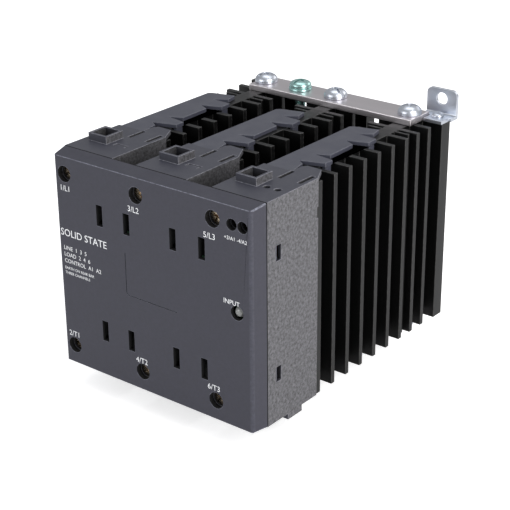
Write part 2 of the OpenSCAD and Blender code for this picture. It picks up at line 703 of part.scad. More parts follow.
module rail_latch() color("#a9afb6") placed() {
    x0 = carrier_x - latch_w / 2;
    x1 = carrier_x + latch_w / 2;
    edge = mid_z - rail_edge;
    difference() {
        union() {
            block([x0, latch_y, edge - 14], [x1, latch_y + latch_t, latch_top]);
            block([x0, latch_y + latch_t - eps, edge - 3], [x1, seat_y + lip_gap + hook_t, edge - play]);
            block([x0, seat_y + lip_gap, edge - play - eps],
                  [x1, seat_y + lip_gap + hook_t, edge + hook_reach]);
        }
        // window round the stop and the spring
        block([carrier_x - 2.7, latch_y - 1, spring_z0 - 2.5],
              [carrier_x + 2.7, latch_y + latch_t + 1, spring_z0 + spring_len]);
        // eye for a screwdriver
        block([carrier_x - 3.5, latch_y - 1, edge - 12],
              [carrier_x + 3.5, latch_y + latch_t + 1, edge - 9.4]);
    }
}

// coil spring, swept as rings of points along a helix
spring_wire = 0.7;
spring_turns = 6;
ring_sides = 8;
ring_count = spring_turns * 14;
function helix(t) =
    let (r = (spring_d - spring_wire) / 2, a = 360 * spring_turns * t)
        [r * cos(a), r * sin(a), spring_wire / 2 + t * (spring_len - spring_wire)];
function ring_point(t, k) =
    let (p = helix(t), a = 360 * spring_turns * t, b = 360 * k / ring_sides, w = spring_wire / 2)
        [p[0] + w * cos(b) * cos(a), p[1] + w * cos(b) * sin(a), p[2] + w * sin(b)];
module latch_spring() color("#9aa0a8") placed()
    translate([carrier_x, latch_y + latch_t / 2, spring_z0])
        polyhedron(
            points = [for (n = [0 : ring_count], k = [0 : ring_sides - 1]) ring_point(n / ring_count, k)],
            faces = concat(
                [[for (k = [0 : ring_sides - 1]) k]],
                [for (n = [0 : ring_count - 1], k = [0 : ring_sides - 1])
                    let (a = n * ring_sides, b = (k + 1) % ring_sides)
                        [a + k, a + ring_sides + k, a + ring_sides + b, a + b]],
                [[for (k = [ring_sides - 1 : -1 : 0]) ring_count * ring_sides + k]]));
module carrier_screws() color("#c4cad4") placed()
    for (s = [-1, 1])
        translate([carrier_x + s * carrier_screw_x, carrier_head_y, carrier_screw_z]) rotate([-90, 0, 0])
            pan_screw(carrier_head_d, carrier_head_t, carrier_screw_d, carrier_head_y - rear_y + 5.5);

front_cover();
housing(0);  // housing_1
housing(1);  // housing_2
housing(2);  // housing_3
heat_sink(0);  // heat_sink_1
heat_sink(1);  // heat_sink_2
heat_sink(2);  // heat_sink_3
top_strip(0);  // top_strip_1
top_strip(1);  // top_strip_2
top_strip(2);  // top_strip_3
bottom_strip(0);  // bottom_strip_1
bottom_strip(1);  // bottom_strip_2
bottom_strip(2);  // bottom_strip_3
line_screw(0);  // line_screw_1
line_screw(1);  // line_screw_2
line_screw(2);  // line_screw_3
load_screw(0);  // load_screw_1
load_screw(1);  // load_screw_2
load_screw(2);  // load_screw_3
line_clamp(0);  // line_clamp_1
line_clamp(1);  // line_clamp_2
line_clamp(2);  // line_clamp_3
load_clamp(0);  // load_clamp_1
load_clamp(1);  // load_clamp_2
load_clamp(2);  // load_clamp_3
control_screw(0);  // control_screw_1
control_screw(1);  // control_screw_2
control_clamp(0);  // control_clamp_1
control_clamp(1);  // control_clamp_2
control_pins();
line_busbar(0);  // line_busbar_1
line_busbar(1);  // line_busbar_2
line_busbar(2);  // line_busbar_3
load_busbar(0);  // load_busbar_1
load_busbar(1);  // load_busbar_2
load_busbar(2);  // load_busbar_3
module_base(0);  // module_base_1
module_base(1);  // module_base_2
module_base(2);  // module_base_3
ceramic_plates();
thyristor_dies();
varistors();
control_board();
optocouplers();
indicator_lamp();
housing_screws();
top_tie_bar();
bottom_tie_bar();
bar_screws();
earth_screw();
earth_washer();
top_bracket();
bottom_bracket();
bracket_screws();
rail_carrier();
rail_latch();
latch_spring();
carrier_screws();
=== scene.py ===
import json
import math
import bpy
import bmesh
from mathutils import Matrix, Vector
from mathutils.bvhtree import BVHTree

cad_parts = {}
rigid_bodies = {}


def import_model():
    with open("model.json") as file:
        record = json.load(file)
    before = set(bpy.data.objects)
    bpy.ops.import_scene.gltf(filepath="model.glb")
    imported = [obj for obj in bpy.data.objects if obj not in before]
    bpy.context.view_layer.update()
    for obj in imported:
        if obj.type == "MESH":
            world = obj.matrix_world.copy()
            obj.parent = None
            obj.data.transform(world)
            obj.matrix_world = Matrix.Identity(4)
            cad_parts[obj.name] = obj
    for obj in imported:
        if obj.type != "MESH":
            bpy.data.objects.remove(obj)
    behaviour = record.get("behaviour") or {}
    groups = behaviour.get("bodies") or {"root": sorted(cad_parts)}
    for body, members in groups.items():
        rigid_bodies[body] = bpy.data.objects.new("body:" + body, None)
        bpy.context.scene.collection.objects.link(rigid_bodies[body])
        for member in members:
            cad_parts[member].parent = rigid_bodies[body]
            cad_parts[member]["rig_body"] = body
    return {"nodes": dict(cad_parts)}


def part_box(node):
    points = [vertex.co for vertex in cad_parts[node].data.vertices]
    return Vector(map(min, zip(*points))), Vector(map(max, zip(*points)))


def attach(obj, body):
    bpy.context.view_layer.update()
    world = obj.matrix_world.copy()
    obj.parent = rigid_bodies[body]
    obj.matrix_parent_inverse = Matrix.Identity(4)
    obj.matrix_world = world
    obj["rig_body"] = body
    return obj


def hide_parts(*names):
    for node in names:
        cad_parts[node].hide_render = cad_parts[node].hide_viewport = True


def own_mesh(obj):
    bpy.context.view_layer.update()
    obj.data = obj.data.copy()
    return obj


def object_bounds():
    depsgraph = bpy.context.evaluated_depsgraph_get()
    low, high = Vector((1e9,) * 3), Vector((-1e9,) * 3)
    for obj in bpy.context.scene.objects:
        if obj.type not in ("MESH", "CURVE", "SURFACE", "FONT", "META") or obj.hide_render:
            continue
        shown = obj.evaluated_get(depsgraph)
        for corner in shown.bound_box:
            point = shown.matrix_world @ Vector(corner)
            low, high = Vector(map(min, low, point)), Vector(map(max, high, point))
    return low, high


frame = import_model()
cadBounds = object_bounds()
mm = 0.001
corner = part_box("front_cover")[0]  # front lower left corner of the cover
bodyOf = {name: node["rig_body"] for name, node in frame["nodes"].items()}
channelPitch = 41
channelWidth = 28
coverWidth = 110
coverHeight = 100
seamDepth = 8.2  # where the cover meets the housings


def at(x, y, z):
    # millimetres from the cover's corner to the shared frame
    return corner + Vector((x, y, z)) * mm


# shader node helpers
def addNode(tree, kind, settings=None, values=None):
    node = tree.nodes.new("ShaderNode" + kind)
    for key, value in (settings or {}).items():
        setattr(node, key, value)
    for key, value in (values or {}).items():
        node.inputs[key].default_value = value
    return node


def addMath(tree, operation, first, second=None, third=None, clamp=False):
    # first, second and third are sockets or numbers
    node = addNode(tree, "Math", {"operation": operation, "use_clamp": clamp})
    for index, item in enumerate((first, second, third)):
        if item is None:
            continue
        if isinstance(item, (int, float)):
            node.inputs[index].default_value = item
        else:
            tree.links.new(item, node.inputs[index])
    return node.outputs[0]


# camera, light and floor
cameraSet = {"azimuth": 38.607, "elevation": 24.0097, "roll": -0.5243, "lens": 100.69, "sensor": 36.0,
             "target": (0.0, -0.0955, 0.0062), "distance": 0.631926, "aside": 0.009118, "above": -0.007689}


def makeCamera(values):
    azimuth, elevation, roll = [math.radians(values[key]) for key in ("azimuth", "elevation", "roll")]
    flatRight = Vector((math.cos(azimuth), math.sin(azimuth), 0))
    back = Vector((math.sin(azimuth) * math.cos(elevation), -math.cos(azimuth) * math.cos(elevation),
                   math.sin(elevation)))
    levelUp = back.cross(flatRight)
    right = flatRight * math.cos(roll) + levelUp * math.sin(roll)
    up = levelUp * math.cos(roll) - flatRight * math.sin(roll)
    spot = Vector(values["target"]) + back * values["distance"] + right * values["aside"]
    spot += up * values["above"]
    data = bpy.data.cameras.new("camera")
    data.lens = values["lens"]
    data.sensor_width = values["sensor"]
    data.clip_start = 0.01
    camera = bpy.data.objects.new("camera", data)
    camera.matrix_world = Matrix.Translation(spot) @ Matrix((right, up, back)).transposed().to_4x4()
    bpy.context.scene.collection.objects.link(camera)
    bpy.context.scene.camera = camera


studio = {"skyStrength": 0.45, "skyColor": (0.96, 0.975, 1.0), "backdropStrength": 1.05,
          "floorColor": (0.92, 0.92, 0.92), "floorHalf": 4.0, "floorGlow": 0.6, "floorGap": 0.0002,
          "lights": {  # place, aim, size, watts, colour
              "keyRight": ((0.75, -0.25, 0.38), (0.05, -0.06, 0.0), (0.5, 0.9), 6.9, (1.0, 0.985, 0.97)),
              "topSoft": ((-0.05, 0.12, 0.95), (0.0, -0.06, 0.05), (0.8, 0.5), 2.4, (0.96, 0.98, 1.0)),
              "frontFill": ((-0.35, -1.0, 0.3), (0.0, -0.1, 0.0), (0.7, 0.6), 3.3, (0.97, 0.98, 1.0)),
              "rearRim": ((0.25, 0.75, 0.45), (0.0, -0.03, 0.03), (0.6, 0.35), 1.2, (1.0, 0.97, 0.96))}}


def makeStudio(values):
    world = bpy.data.worlds.new("studio")
    world.use_nodes = True
    sky = world.node_tree.nodes["Background"]
    path = addNode(world.node_tree, "LightPath")
    # the backdrop itself is plain white
    pick = addNode(world.node_tree, "Mix", values={2: values["skyStrength"], 3: values["backdropStrength"]})
    world.node_tree.links.new(path.outputs["Is Camera Ray"], pick.inputs[0])
    world.node_tree.links.new(pick.outputs[0], sky.inputs["Strength"])
    sky.inputs["Color"].default_value = (*values["skyColor"], 1)
    bpy.context.scene.world = world
    bpy.context.scene.view_settings.view_transform = "Standard"
    for name, (place, aim, size, watts, color) in values["lights"].items():
        data = bpy.data.lights.new(name, "AREA")
        data.shape = "RECTANGLE"
        data.size, data.size_y = size
        data.energy = watts
        data.color = color
        light = bpy.data.objects.new(name, data)
        light.location = place
        light.rotation_euler = (Vector(aim) - Vector(place)).to_track_quat("-Z", "Y").to_euler()
        bpy.context.scene.collection.objects.link(light)
    half = values["floorHalf"]
    level = cadBounds[0].z - values["floorGap"]
    mesh = bpy.data.meshes.new("floor")
    mesh.from_pydata([(-half, -half, level), (half, -half, level), (half, half, level), (-half, half, level)],
                     [], [(0, 1, 2, 3)])
    floor = bpy.data.objects.new("floor", mesh)
    bpy.context.scene.collection.objects.link(floor)
    paper = bpy.data.materials.new("paleFloor")
    paper.use_nodes = True
    tree = paper.node_tree
    shader = tree.nodes["Principled BSDF"]
    for socket, value in (("Base Color", (*values["floorColor"], 1)), ("Roughness", 0.9),
                          ("Specular IOR Level", 0.1), ("Emission Color", (1, 1, 1, 1))):
        shader.inputs[socket].default_value = value
    lit = addNode(tree, "LightPath")
    glow = addMath(tree, "MULTIPLY", lit.outputs["Is Camera Ray"], values["floorGlow"])
    tree.links.new(glow, shader.inputs["Emission Strength"])
    clear = addNode(tree, "BsdfTransparent")  # seen from below, the floor is not there
    behind = addNode(tree, "NewGeometry")
    choose = addNode(tree, "MixShader")
    for index, socket in enumerate((behind.outputs["Backfacing"], shader.outputs[0], clear.outputs[0])):
        tree.links.new(socket, choose.inputs[index])
    tree.links.new(choose.outputs[0], tree.nodes["Material Output"].inputs["Surface"])
    mesh.materials.append(paper)


makeCamera(cameraSet)
makeStudio(studio)
print("camera, light and floor made")


# shared surface effects
def newGroup(name, inputs, outputs):
    group = bpy.data.node_groups.new(name, "ShaderNodeTree")
    for label, kind, value in inputs:
        socket = group.interface.new_socket(name=label, in_out="INPUT", socket_type="NodeSocket" + kind)
        if value is not None:
            socket.default_value = value
    for label, kind in outputs:
        group.interface.new_socket(name=label, in_out="OUTPUT", socket_type="NodeSocket" + kind)
    return group, group.nodes.new("NodeGroupInput"), group.nodes.new("NodeGroupOutput")


def addBlend(tree, factor, first, second, mode="MIX"):
    node = addNode(tree, "MixRGB", {"blend_type": mode})
    for index, item in enumerate((factor, first, second)):
        if isinstance(item, (int, float)):
            node.inputs[index].default_value = item
        elif isinstance(item, tuple):
            node.inputs[index].default_value = (*item[:3], 1)
        else:
            tree.links.new(item, node.inputs[index])
    return node.outputs[0]


def addNoise(group, given, detail, roughness):
    # noise over the object's own coordinates, at the group's Scale
    coords = addNode(group, "TexCoord")
    noise = addNode(group, "TexNoise", values={"Detail": detail, "Roughness": roughness})
    group.links.new(coords.outputs["Object"], noise.inputs["Vector"])
    group.links.new(given.outputs["Scale"], noise.inputs["Scale"])
    return noise.outputs["Fac"]


def makeToneDrift():
    # slow change of tone from place to place
    group, given, result = newGroup("toneDrift", [("Color", "Color", (0.5, 0.5, 0.5, 1)),
                                                  ("Scale", "Float", 60.0), ("Amount", "Float", 0.15)],
                                    [("Color", "Color")])
    shift = addMath(group, "SUBTRACT", addNoise(group, given, 4.0, 0.6), 0.5)
    gain = addMath(group, "MULTIPLY_ADD", shift, given.outputs["Amount"], 1.0)
    scale = addNode(group, "VectorMath", {"operation": "SCALE"})
    group.links.new(given.outputs["Color"], scale.inputs[0])
    group.links.new(gain, scale.inputs["Scale"])
    group.links.new(scale.outputs[0], result.inputs["Color"])
    return group


def makeMouldGrain():
    # the eroded skin of a plastic mould: small pits with a speckle of tone
    group, given, result = newGroup("mouldGrain", [("Scale", "Float", 1800.0), ("Sharpness", "Float", 0.5)],
                                    [("Height", "Float"), ("Speckle", "Float")])
    coords = addNode(group, "TexCoord")
    fine = addNode(group, "TexNoise", values={"Detail": 5.0, "Roughness": 0.75})
    pits = addNode(group, "TexVoronoi", {"feature": "SMOOTH_F1"}, {"Smoothness": 0.6, "Randomness": 1.0})
    wide = addNode(group, "TexNoise", values={"Detail": 2.0})
    for node, share in ((fine, 1.0), (pits, 0.7), (wide, 0.3)):
        group.links.new(coords.outputs["Object"], node.inputs["Vector"])
        group.links.new(addMath(group, "MULTIPLY", given.outputs["Scale"], share), node.inputs["Scale"])
    mixed = addMath(group, "MULTIPLY_ADD", pits.outputs["Distance"], given.outputs["Sharpness"],
                    fine.outputs["Fac"])
    group.links.new(mixed, result.inputs["Height"])
    both = addMath(group, "ADD", fine.outputs["Fac"], wide.outputs["Fac"])
    group.links.new(addMath(group, "MULTIPLY", both, 0.5), result.inputs["Speckle"])
    return group


def makeDrawnStreaks():
    # long thin lines of drawing, brushing or extrusion
    group, given, result = newGroup("drawnStreaks", [("Stretch", "Vector", (1, 1, 1)),
                                                     ("Scale", "Float", 900.0)],
                                    [("Height", "Float"), ("Streak", "Float")])
    coords = addNode(group, "TexCoord")
    scale = addNode(group, "VectorMath", {"operation": "MULTIPLY"})
    group.links.new(coords.outputs["Object"], scale.inputs[0])
    group.links.new(given.outputs["Stretch"], scale.inputs[1])
    thin = addNode(group, "TexNoise", values={"Detail": 6.0, "Roughness": 0.8})
    broad = addNode(group, "TexNoise", values={"Detail": 2.0})
    for node, share in ((thin, 1.0), (broad, 0.22)):
        group.links.new(scale.outputs[0], node.inputs["Vector"])
        group.links.new(addMath(group, "MULTIPLY", given.outputs["Scale"], share), node.inputs["Scale"])
    group.links.new(thin.outputs["Fac"], result.inputs["Height"])
    both = addMath(group, "ADD", thin.outputs["Fac"], broad.outputs["Fac"])
    group.links.new(addMath(group, "MULTIPLY", both, 0.5), result.inputs["Streak"])
    return group


def makeEdgeWearAndHighlight():
    # the rounded edges carry the mesh attribute edgeMask; a lighter edge colour breaks up along them: edge wear
    # on most finishes, a painted highlight on the cover's creases and edges
    group, given, result = newGroup("edgeWearAndHighlight", [("Color", "Color", (0.5, 0.5, 0.5, 1)),
                                                 ("Worn And Lit Color", "Color", (0.8, 0.8, 0.8, 1)),
                                                 ("Amount", "Float", 0.5), ("Scale", "Float", 700.0)],
                                    [("Color", "Color"), ("Mask", "Float")])
    edge = addNode(group, "Attribute", {"attribute_name": "edgeMask"})
    broken = addNode(group, "MapRange", values={"From Min": 0.3, "From Max": 0.65})
    group.links.new(addNoise(group, given, 4.0, 0.7), broken.inputs["Value"])
    wornAndLit = addMath(group, "MULTIPLY", edge.outputs["Fac"], broken.outputs[0])
    mask = addMath(group, "MULTIPLY", wornAndLit, given.outputs["Amount"], clamp=True)
    blended = addBlend(group, mask, given.outputs["Color"], given.outputs["Worn And Lit Color"])
    group.links.new(blended, result.inputs["Color"])
    group.links.new(mask, result.inputs["Mask"])
    return group


def makeDustFilm():
    # a thin film of dust on what faces up
    group, given, result = newGroup("dustFilm", [("Color", "Color", (0.5, 0.5, 0.5, 1)),
                                                 ("Dust Color", "Color", (0.55, 0.53, 0.5, 1)),
                                                 ("Amount", "Float", 0.1), ("Scale", "Float", 120.0)],
                                    [("Color", "Color"), ("Mask", "Float")])
    geometry = addNode(group, "NewGeometry")
    split = addNode(group, "SeparateXYZ")
    group.links.new(geometry.outputs["Normal"], split.inputs[0])
    facing = addNode(group, "MapRange", values={"From Min": 0.2, "From Max": 1.0})
    group.links.new(split.outputs["Z"], facing.inputs["Value"])
    patch = addNode(group, "MapRange", values={"From Min": 0.35, "From Max": 0.75})
    group.links.new(addNoise(group, given, 6.0, 0.65), patch.inputs["Value"])
    laid = addMath(group, "MULTIPLY", facing.outputs[0], patch.outputs[0])
    mask = addMath(group, "MULTIPLY", laid, given.outputs["Amount"], clamp=True)
    blended = addBlend(group, mask, given.outputs["Color"], given.outputs["Dust Color"])
    group.links.new(blended, result.inputs["Color"])
    group.links.new(mask, result.inputs["Mask"])
    return group


def makeSideFaces():
    # 1 where a surface looks left or right, 0 elsewhere
    group, given, result = newGroup("sideFaces", [("Start", "Float", 0.75), ("End", "Float", 0.95)],
                                    [("Mask", "Float")])
    geometry = addNode(group, "NewGeometry")
    split = addNode(group, "SeparateXYZ")
    group.links.new(geometry.outputs["True Normal"], split.inputs[0])
    ramp = addNode(group, "MapRange")
    group.links.new(addMath(group, "ABSOLUTE", split.outputs["X"]), ramp.inputs["Value"])
    group.links.new(given.outputs["Start"], ramp.inputs["From Min"])
    group.links.new(given.outputs["End"], ramp.inputs["From Max"])
    group.links.new(ramp.outputs[0], result.inputs["Mask"])
    return group


def makeDeepShade():
    # painted shade: the insides of holes, slots and guides and the groove at the seam carry a mesh attribute of
    # how shut in they are, and there the colour is blended towards black
    group, given, result = newGroup("deepShade", [("Color", "Color", (0.5, 0.5, 0.5, 1)),
                                                  ("Amount", "Float", 0.8)],
                                    [("Color", "Color"), ("Mask", "Float")])
    deep = addNode(group, "Attribute", {"attribute_name": "paintedShadeMask"})
    mask = addMath(group, "MULTIPLY", deep.outputs["Fac"], given.outputs["Amount"], clamp=True)
    group.links.new(addBlend(group, mask, given.outputs["Color"], (0.0, 0.0, 0.0)), result.inputs["Color"])
    group.links.new(mask, result.inputs["Mask"])
    return group


toneDrift = makeToneDrift()
deepShade = makeDeepShade()
sideFaces = makeSideFaces()
mouldGrain = makeMouldGrain()
drawnStreaks = makeDrawnStreaks()
edgeWearAndHighlight = makeEdgeWearAndHighlight()
dustFilm = makeDustFilm()


def placeGroup(tree, group, values):
    node = tree.nodes.new("ShaderNodeGroup")
    node.node_tree = group
    for key, value in values.items():
        if isinstance(value, tuple) and len(value) == 3 and node.inputs[key].type == "RGBA":
            value = (*value, 1)
        node.inputs[key].default_value = value
    return node


plainLook = {"shader": {}, "drift": 0.15, "driftScale": 60.0, "sharpness": 0.5, "fleck": 0.3,
             "roughSwing": 0.15, "wearAndLight": 0.4, "wearScale": 700.0, "wornSmooth": -0.08, "dust": 0.06,
             "dustScale": 140.0, "dustColor": (0.5, 0.49, 0.47), "deep": 0.0, "dull": 0.5, "bump": 0.3,
             "bumpHeight": 0.00003}


def makeFinish(name, given):
    # given overrides plainLook; without its own edge colour an edge keeps the base colour. That edge colour is
    # edge wear, and on the cover a painted highlight
    look = {**plainLook, "wornAndLit": given["color"], **given}
    material = bpy.data.materials.new(name)
    material.use_nodes = True
    tree = material.node_tree
    shader = tree.nodes["Principled BSDF"]
    for socket, value in look["shader"].items():
        shader.inputs[socket].default_value = value
    tone = placeGroup(tree, toneDrift, {"Color": look["color"], "Scale": look["driftScale"],
                                        "Amount": look["drift"]})
    if "stretch" in look:
        skin = placeGroup(tree, drawnStreaks, {"Stretch": look["stretch"], "Scale": look["grainScale"]})
        fleck = skin.outputs["Streak"]
    else:
        skin = placeGroup(tree, mouldGrain, {"Scale": look["grainScale"], "Sharpness": look["sharpness"]})
        fleck = skin.outputs["Speckle"]
    centred = addMath(tree, "SUBTRACT", fleck, 0.5)
    bumpHeight = skin.outputs["Height"]
    if "sideColor" in look:  # the mould's eroded skin shows on the faces that look to the side
        side = placeGroup(tree, sideFaces, {})
        flat = addMath(tree, "SUBTRACT", 1.0, side.outputs["Mask"])
        calm = addMath(tree, "MULTIPLY_ADD", flat, look["calm"] - 1, 1.0)
        centred = addMath(tree, "MULTIPLY", centred, calm)
        bumpHeight = addMath(tree, "MULTIPLY", bumpHeight, calm)
        sided = addBlend(tree, side.outputs["Mask"], look["color"], look["sideColor"])
        tree.links.new(sided, tone.inputs["Color"])
    gain = addMath(tree, "MULTIPLY_ADD", centred, look["fleck"], 1.0)
    flecked = addNode(tree, "VectorMath", {"operation": "SCALE"})
    tree.links.new(tone.outputs["Color"], flecked.inputs[0])
    tree.links.new(gain, flecked.inputs["Scale"])
    wearAndLight = placeGroup(tree, edgeWearAndHighlight, {"Worn And Lit Color": look["wornAndLit"],
                                       "Amount": look["wearAndLight"], "Scale": look["wearScale"]})
    tree.links.new(flecked.outputs[0], wearAndLight.inputs["Color"])
    dust = placeGroup(tree, dustFilm, {"Amount": look["dust"], "Scale": look["dustScale"],
                                       "Dust Color": look["dustColor"]})
    tree.links.new(wearAndLight.outputs["Color"], dust.inputs["Color"])
    # painted shade: the colour goes towards black in holes, slots, guides and the seam groove
    deep = placeGroup(tree, deepShade, {"Amount": look["deep"]})
    tree.links.new(dust.outputs["Color"], deep.inputs["Color"])
    tree.links.new(deep.outputs["Color"], shader.inputs["Base Color"])
    swing = addMath(tree, "MULTIPLY_ADD", centred, look["roughSwing"], look["roughness"])
    smoothed = addMath(tree, "MULTIPLY_ADD", wearAndLight.outputs["Mask"], look["wornSmooth"], swing)
    dulled = addMath(tree, "MULTIPLY_ADD", dust.outputs["Mask"], look["dull"], smoothed)
    rough = addMath(tree, "MULTIPLY_ADD", deep.outputs["Mask"], look["dull"], dulled, clamp=True)
    tree.links.new(rough, shader.inputs["Roughness"])
    bump = addNode(tree, "Bump", values={"Strength": look["bump"], "Distance": look["bumpHeight"]})
    tree.links.new(bumpHeight, bump.inputs["Height"])
    tree.links.new(bump.outputs["Normal"], shader.inputs["Normal"])
    return material


# making pieces
def freshMesh(name, bm):
    mesh = bpy.data.meshes.new(name)
    bm.normal_update()
    bm.to_mesh(mesh)
    bm.free()
    return mesh


def addObject(name, mesh, material):
    piece = bpy.data.objects.new(name, mesh)
    mesh.materials.clear()
    mesh.materials.append(material)
    bpy.context.scene.collection.objects.link(piece)
    return piece


def bakeModifiers(piece):
    graph = bpy.context.evaluated_depsgraph_get()
    mesh = bpy.data.meshes.new_from_object(piece.evaluated_get(graph), preserve_all_data_layers=True,
                                           depsgraph=graph)
    old = piece.data
    piece.modifiers.clear()
    piece.data = mesh
    bpy.data.meshes.remove(old)
    return mesh


def welded(node):
    # a copy of a CAD node's surface without doubled points
    bm = bmesh.new()
    bm.from_mesh(frame["nodes"][node].data)
    bmesh.ops.remove_doubles(bm, verts=bm.verts, dist=0.002 * mm)
    return bm


def flatMade(node):
    # the same with its flat faces made whole
    bm = welded(node)
    bmesh.ops.dissolve_limit(bm, angle_limit=math.radians(0.3), verts=bm.verts, edges=bm.edges)
    return bm


def roundEdges(piece, widthOf, segments=3, sharpest=38.0, mostCorners=12):
    # widthOf(edge) gives each edge's radius in millimetres, or 0 to leave it
    mesh = piece.data
    bm = bmesh.new()
    bm.from_mesh(mesh)
    widths = {}
    for edge in bm.edges:
        if len(edge.link_faces) == 2 and edge.calc_face_angle(0) > math.radians(sharpest):
            widths[edge.index] = widthOf(edge)
    bm.free()
    widest = max(widths.values())
    weights = mesh.attributes.new("bevel_weight_edge", "FLOAT", "EDGE")
    for index, width in widths.items():
        weights.data[index].value = width / widest
    bevel = piece.modifiers.new("round", "BEVEL")
    bevel.limit_method = "WEIGHT"
    bevel.offset_type = "OFFSET"
    bevel.width = widest * mm
    bevel.segments = segments
    bevel.use_clamp_overlap = False
    bevel.loop_slide = False
    bevel.material = 1
    mesh.materials.append(mesh.materials[0])
    mesh = bakeModifiers(piece)
    bm = bmesh.new()
    bm.from_mesh(mesh)
    wide = [face for face in bm.faces if len(face.verts) > mostCorners]  # holed faces shade better in triangles
    bmesh.ops.triangulate(bm, faces=wide, quad_method="BEAUTY", ngon_method="BEAUTY")
    bm.to_mesh(mesh)
    bm.free()
    mask = mesh.attributes.new("edgeMask", "FLOAT", "CORNER")
    for face in mesh.polygons:
        if face.material_index == 1:
            for loop in face.loop_indices:
                mask.data[loop].value = 1.0
            face.material_index = 0
    while len(mesh.materials) > 1:
        mesh.materials.pop()
    smoothByArea(piece)
    return piece


shadeShape = {"rays": 16, "goldenAngle": 2.399963, "lift": 0.08, "inset": 0.3, "insetShare": 0.2, "reach": 45,
              "open": 0.35, "shut": 0.88, "groove": 0.42}  # lengths in millimetres


def makeRelayTree():
    # every CAD surface at rest, for the rays of shadeDeep
    corners, faces = [], []
    for node in frame["nodes"].values():
        start = len(corners)
        corners.extend(vertex.co.copy() for vertex in node.data.vertices)
        faces.extend([start + index for index in face.vertices] for face in node.data.polygons)
    return BVHTree.FromPolygons(corners, faces)


def makeRayFan(values):
    fan = []
    for index in range(values["rays"]):
        wide = math.sqrt((index + 0.5) / values["rays"])
        turn = index * values["goldenAngle"]
        fan.append((wide * math.cos(turn), wide * math.sin(turn), math.sqrt(1 - wide * wide)))
    return fan


relayTree = makeRelayTree()
rayFan = makeRayFan(shadeShape)


def shadeDeep(piece, values, seam=None, inside=None):
    # painted shade: a mask attribute says how shut in each corner of a face is, from rays cast against every
    # CAD surface, and the colour is darkened there as shade; the groove at a seam and the walls that inside
    # picks count as fully shut
    mesh = piece.data
    mask = mesh.attributes.new("paintedShadeMask", "FLOAT", "CORNER")
    edge = mesh.attributes["edgeMask"]
    for face in mesh.polygons:
        normal, middle = face.normal, face.center
        place = (middle - corner) / mm
        atSeam = seam is not None and abs(place.y - seam) < values["groove"]
        if atSeam or inside is not None and inside(place):
            for loop in face.loop_indices:
                mask.data[loop].value = 1.0
                edge.data[loop].value = 0.0
            continue
        aside = normal.orthogonal().normalized()
        across = normal.cross(aside)
        rays = [aside * x + across * y + normal * z for x, y, z in rayFan]
        for loop in face.loop_indices:
            spot = mesh.vertices[mesh.loops[loop].vertex_index].co
            inward = middle - spot
            step = min(values["inset"] * mm, inward.length * values["insetShare"])
            start = spot + inward.normalized() * step + normal * values["lift"] * mm
            hits = 0
            for ray in rays:
                hit = relayTree.ray_cast(start, ray, values["reach"] * mm)
                if hit[0] is not None and hit[1].dot(ray) < 0:
                    hits += 1
            share = (hits / len(rays) - values["open"]) / (values["shut"] - values["open"])
            mask.data[loop].value = min(1.0, max(0.0, share))


def smoothByArea(piece, angle=50.0):
    mesh = piece.data
    mesh.polygons.foreach_set("use_smooth", [True] * len(mesh.polygons))
    mesh.set_sharp_from_angle(angle=math.radians(angle))
    even = piece.modifiers.new("evenNormals", "WEIGHTED_NORMAL")
    even.keep_sharp = True
    even.weight = 80


def join(piece, body, slot, *replaced):
    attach(piece, body)
    if replaced:
        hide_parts(*replaced)
    return piece


def refine(node, material, slot, width=0.25, segments=3, widthOf=None):
    piece = addObject(node + "_piece", freshMesh(node, flatMade(node)), material)
    roundEdges(piece, widthOf or (lambda edge: width), segments)
    return join(piece, bodyOf[node], slot, node)


def edgeSpot(edge):
    # middle of an edge in millimetres from the cover's corner, and its direction
    middle = ((edge.verts[0].co + edge.verts[1].co) / 2 - corner) / mm
    return middle, (edge.verts[1].co - edge.verts[0].co).normalized()


# front cover
# the cover's lighter edge colour and its amount paint a highlight along the top crease and the edges, broken up
# like edge wear
coverLook = {"color": (0.029, 0.029, 0.0435), "roughness": 0.5, "roughSwing": 0.06, "grainScale": 2600.0,
             "fleck": 0.9, "bump": 0.22, "bumpHeight": 0.00002, "drift": 0.05, "driftScale": 25.0,
             "wornAndLit": (0.26, 0.27, 0.33), "wearAndLight": 0.8, "dust": 0.02, "deep": 0.95, "shader": {"IOR": 1.5}}
coverShape = {"crease": 0.22, "side": 1.3, "rim": 0.35, "hole": 0.25, "slot": 0.04, "fineLine": 0.05,
              "hook": 0.15, "outer": 0.6, "inner": 0.12, "cornerLight": 0.12, "fineLineBox": (39, 71, 42, 65),
              "sideBand": 2, "faceBand": 0.2, "topBand": 1.6, "footBand": 0.5, "skin": 0.05,
              "insideBox": (3, coverWidth - 3, 1.5, coverHeight - 2)}
coverPlastic = makeFinish("coverPlastic", coverLook)


def coverWidthOf(edge):
    middle, direction = edgeSpot(edge)
    left, right, low, high = coverShape["fineLineBox"]
    outside = middle.x < coverShape["sideBand"] or middle.x > coverWidth - coverShape["sideBand"]
    nearFront = middle.y < coverShape["faceBand"]
    if middle.y > seamDepth + coverShape["skin"]:
        return coverShape["hook"]
    if nearFront and left < middle.x < right and low < middle.z < high:
        return coverShape["fineLine"]
    if abs(direction.z) > 0.95 and middle.y < 0.1 and outside:
        return coverShape["side"]
    if nearFront and (middle.z > coverHeight - coverShape["topBand"] or middle.z < coverShape["footBand"]):
        return coverShape["crease"]
    if nearFront:
        return coverShape["hole"] if middle.y < 0.01 else coverShape["slot"]
    if middle.y > seamDepth - 0.1:
        return coverShape["rim"]
    return coverShape["outer"] if outside and middle.y < seamDepth - 0.5 else coverShape["inner"]


def coverInside(spot):
    # walls of the holes and slots, painted fully in shade
    left, right, low, high = coverShape["insideBox"]
    return spot.y > coverShape["skin"] and left < spot.x < right and low < spot.z < high


cover = refine("front_cover", coverPlastic, "cover_plastic", widthOf=coverWidthOf)
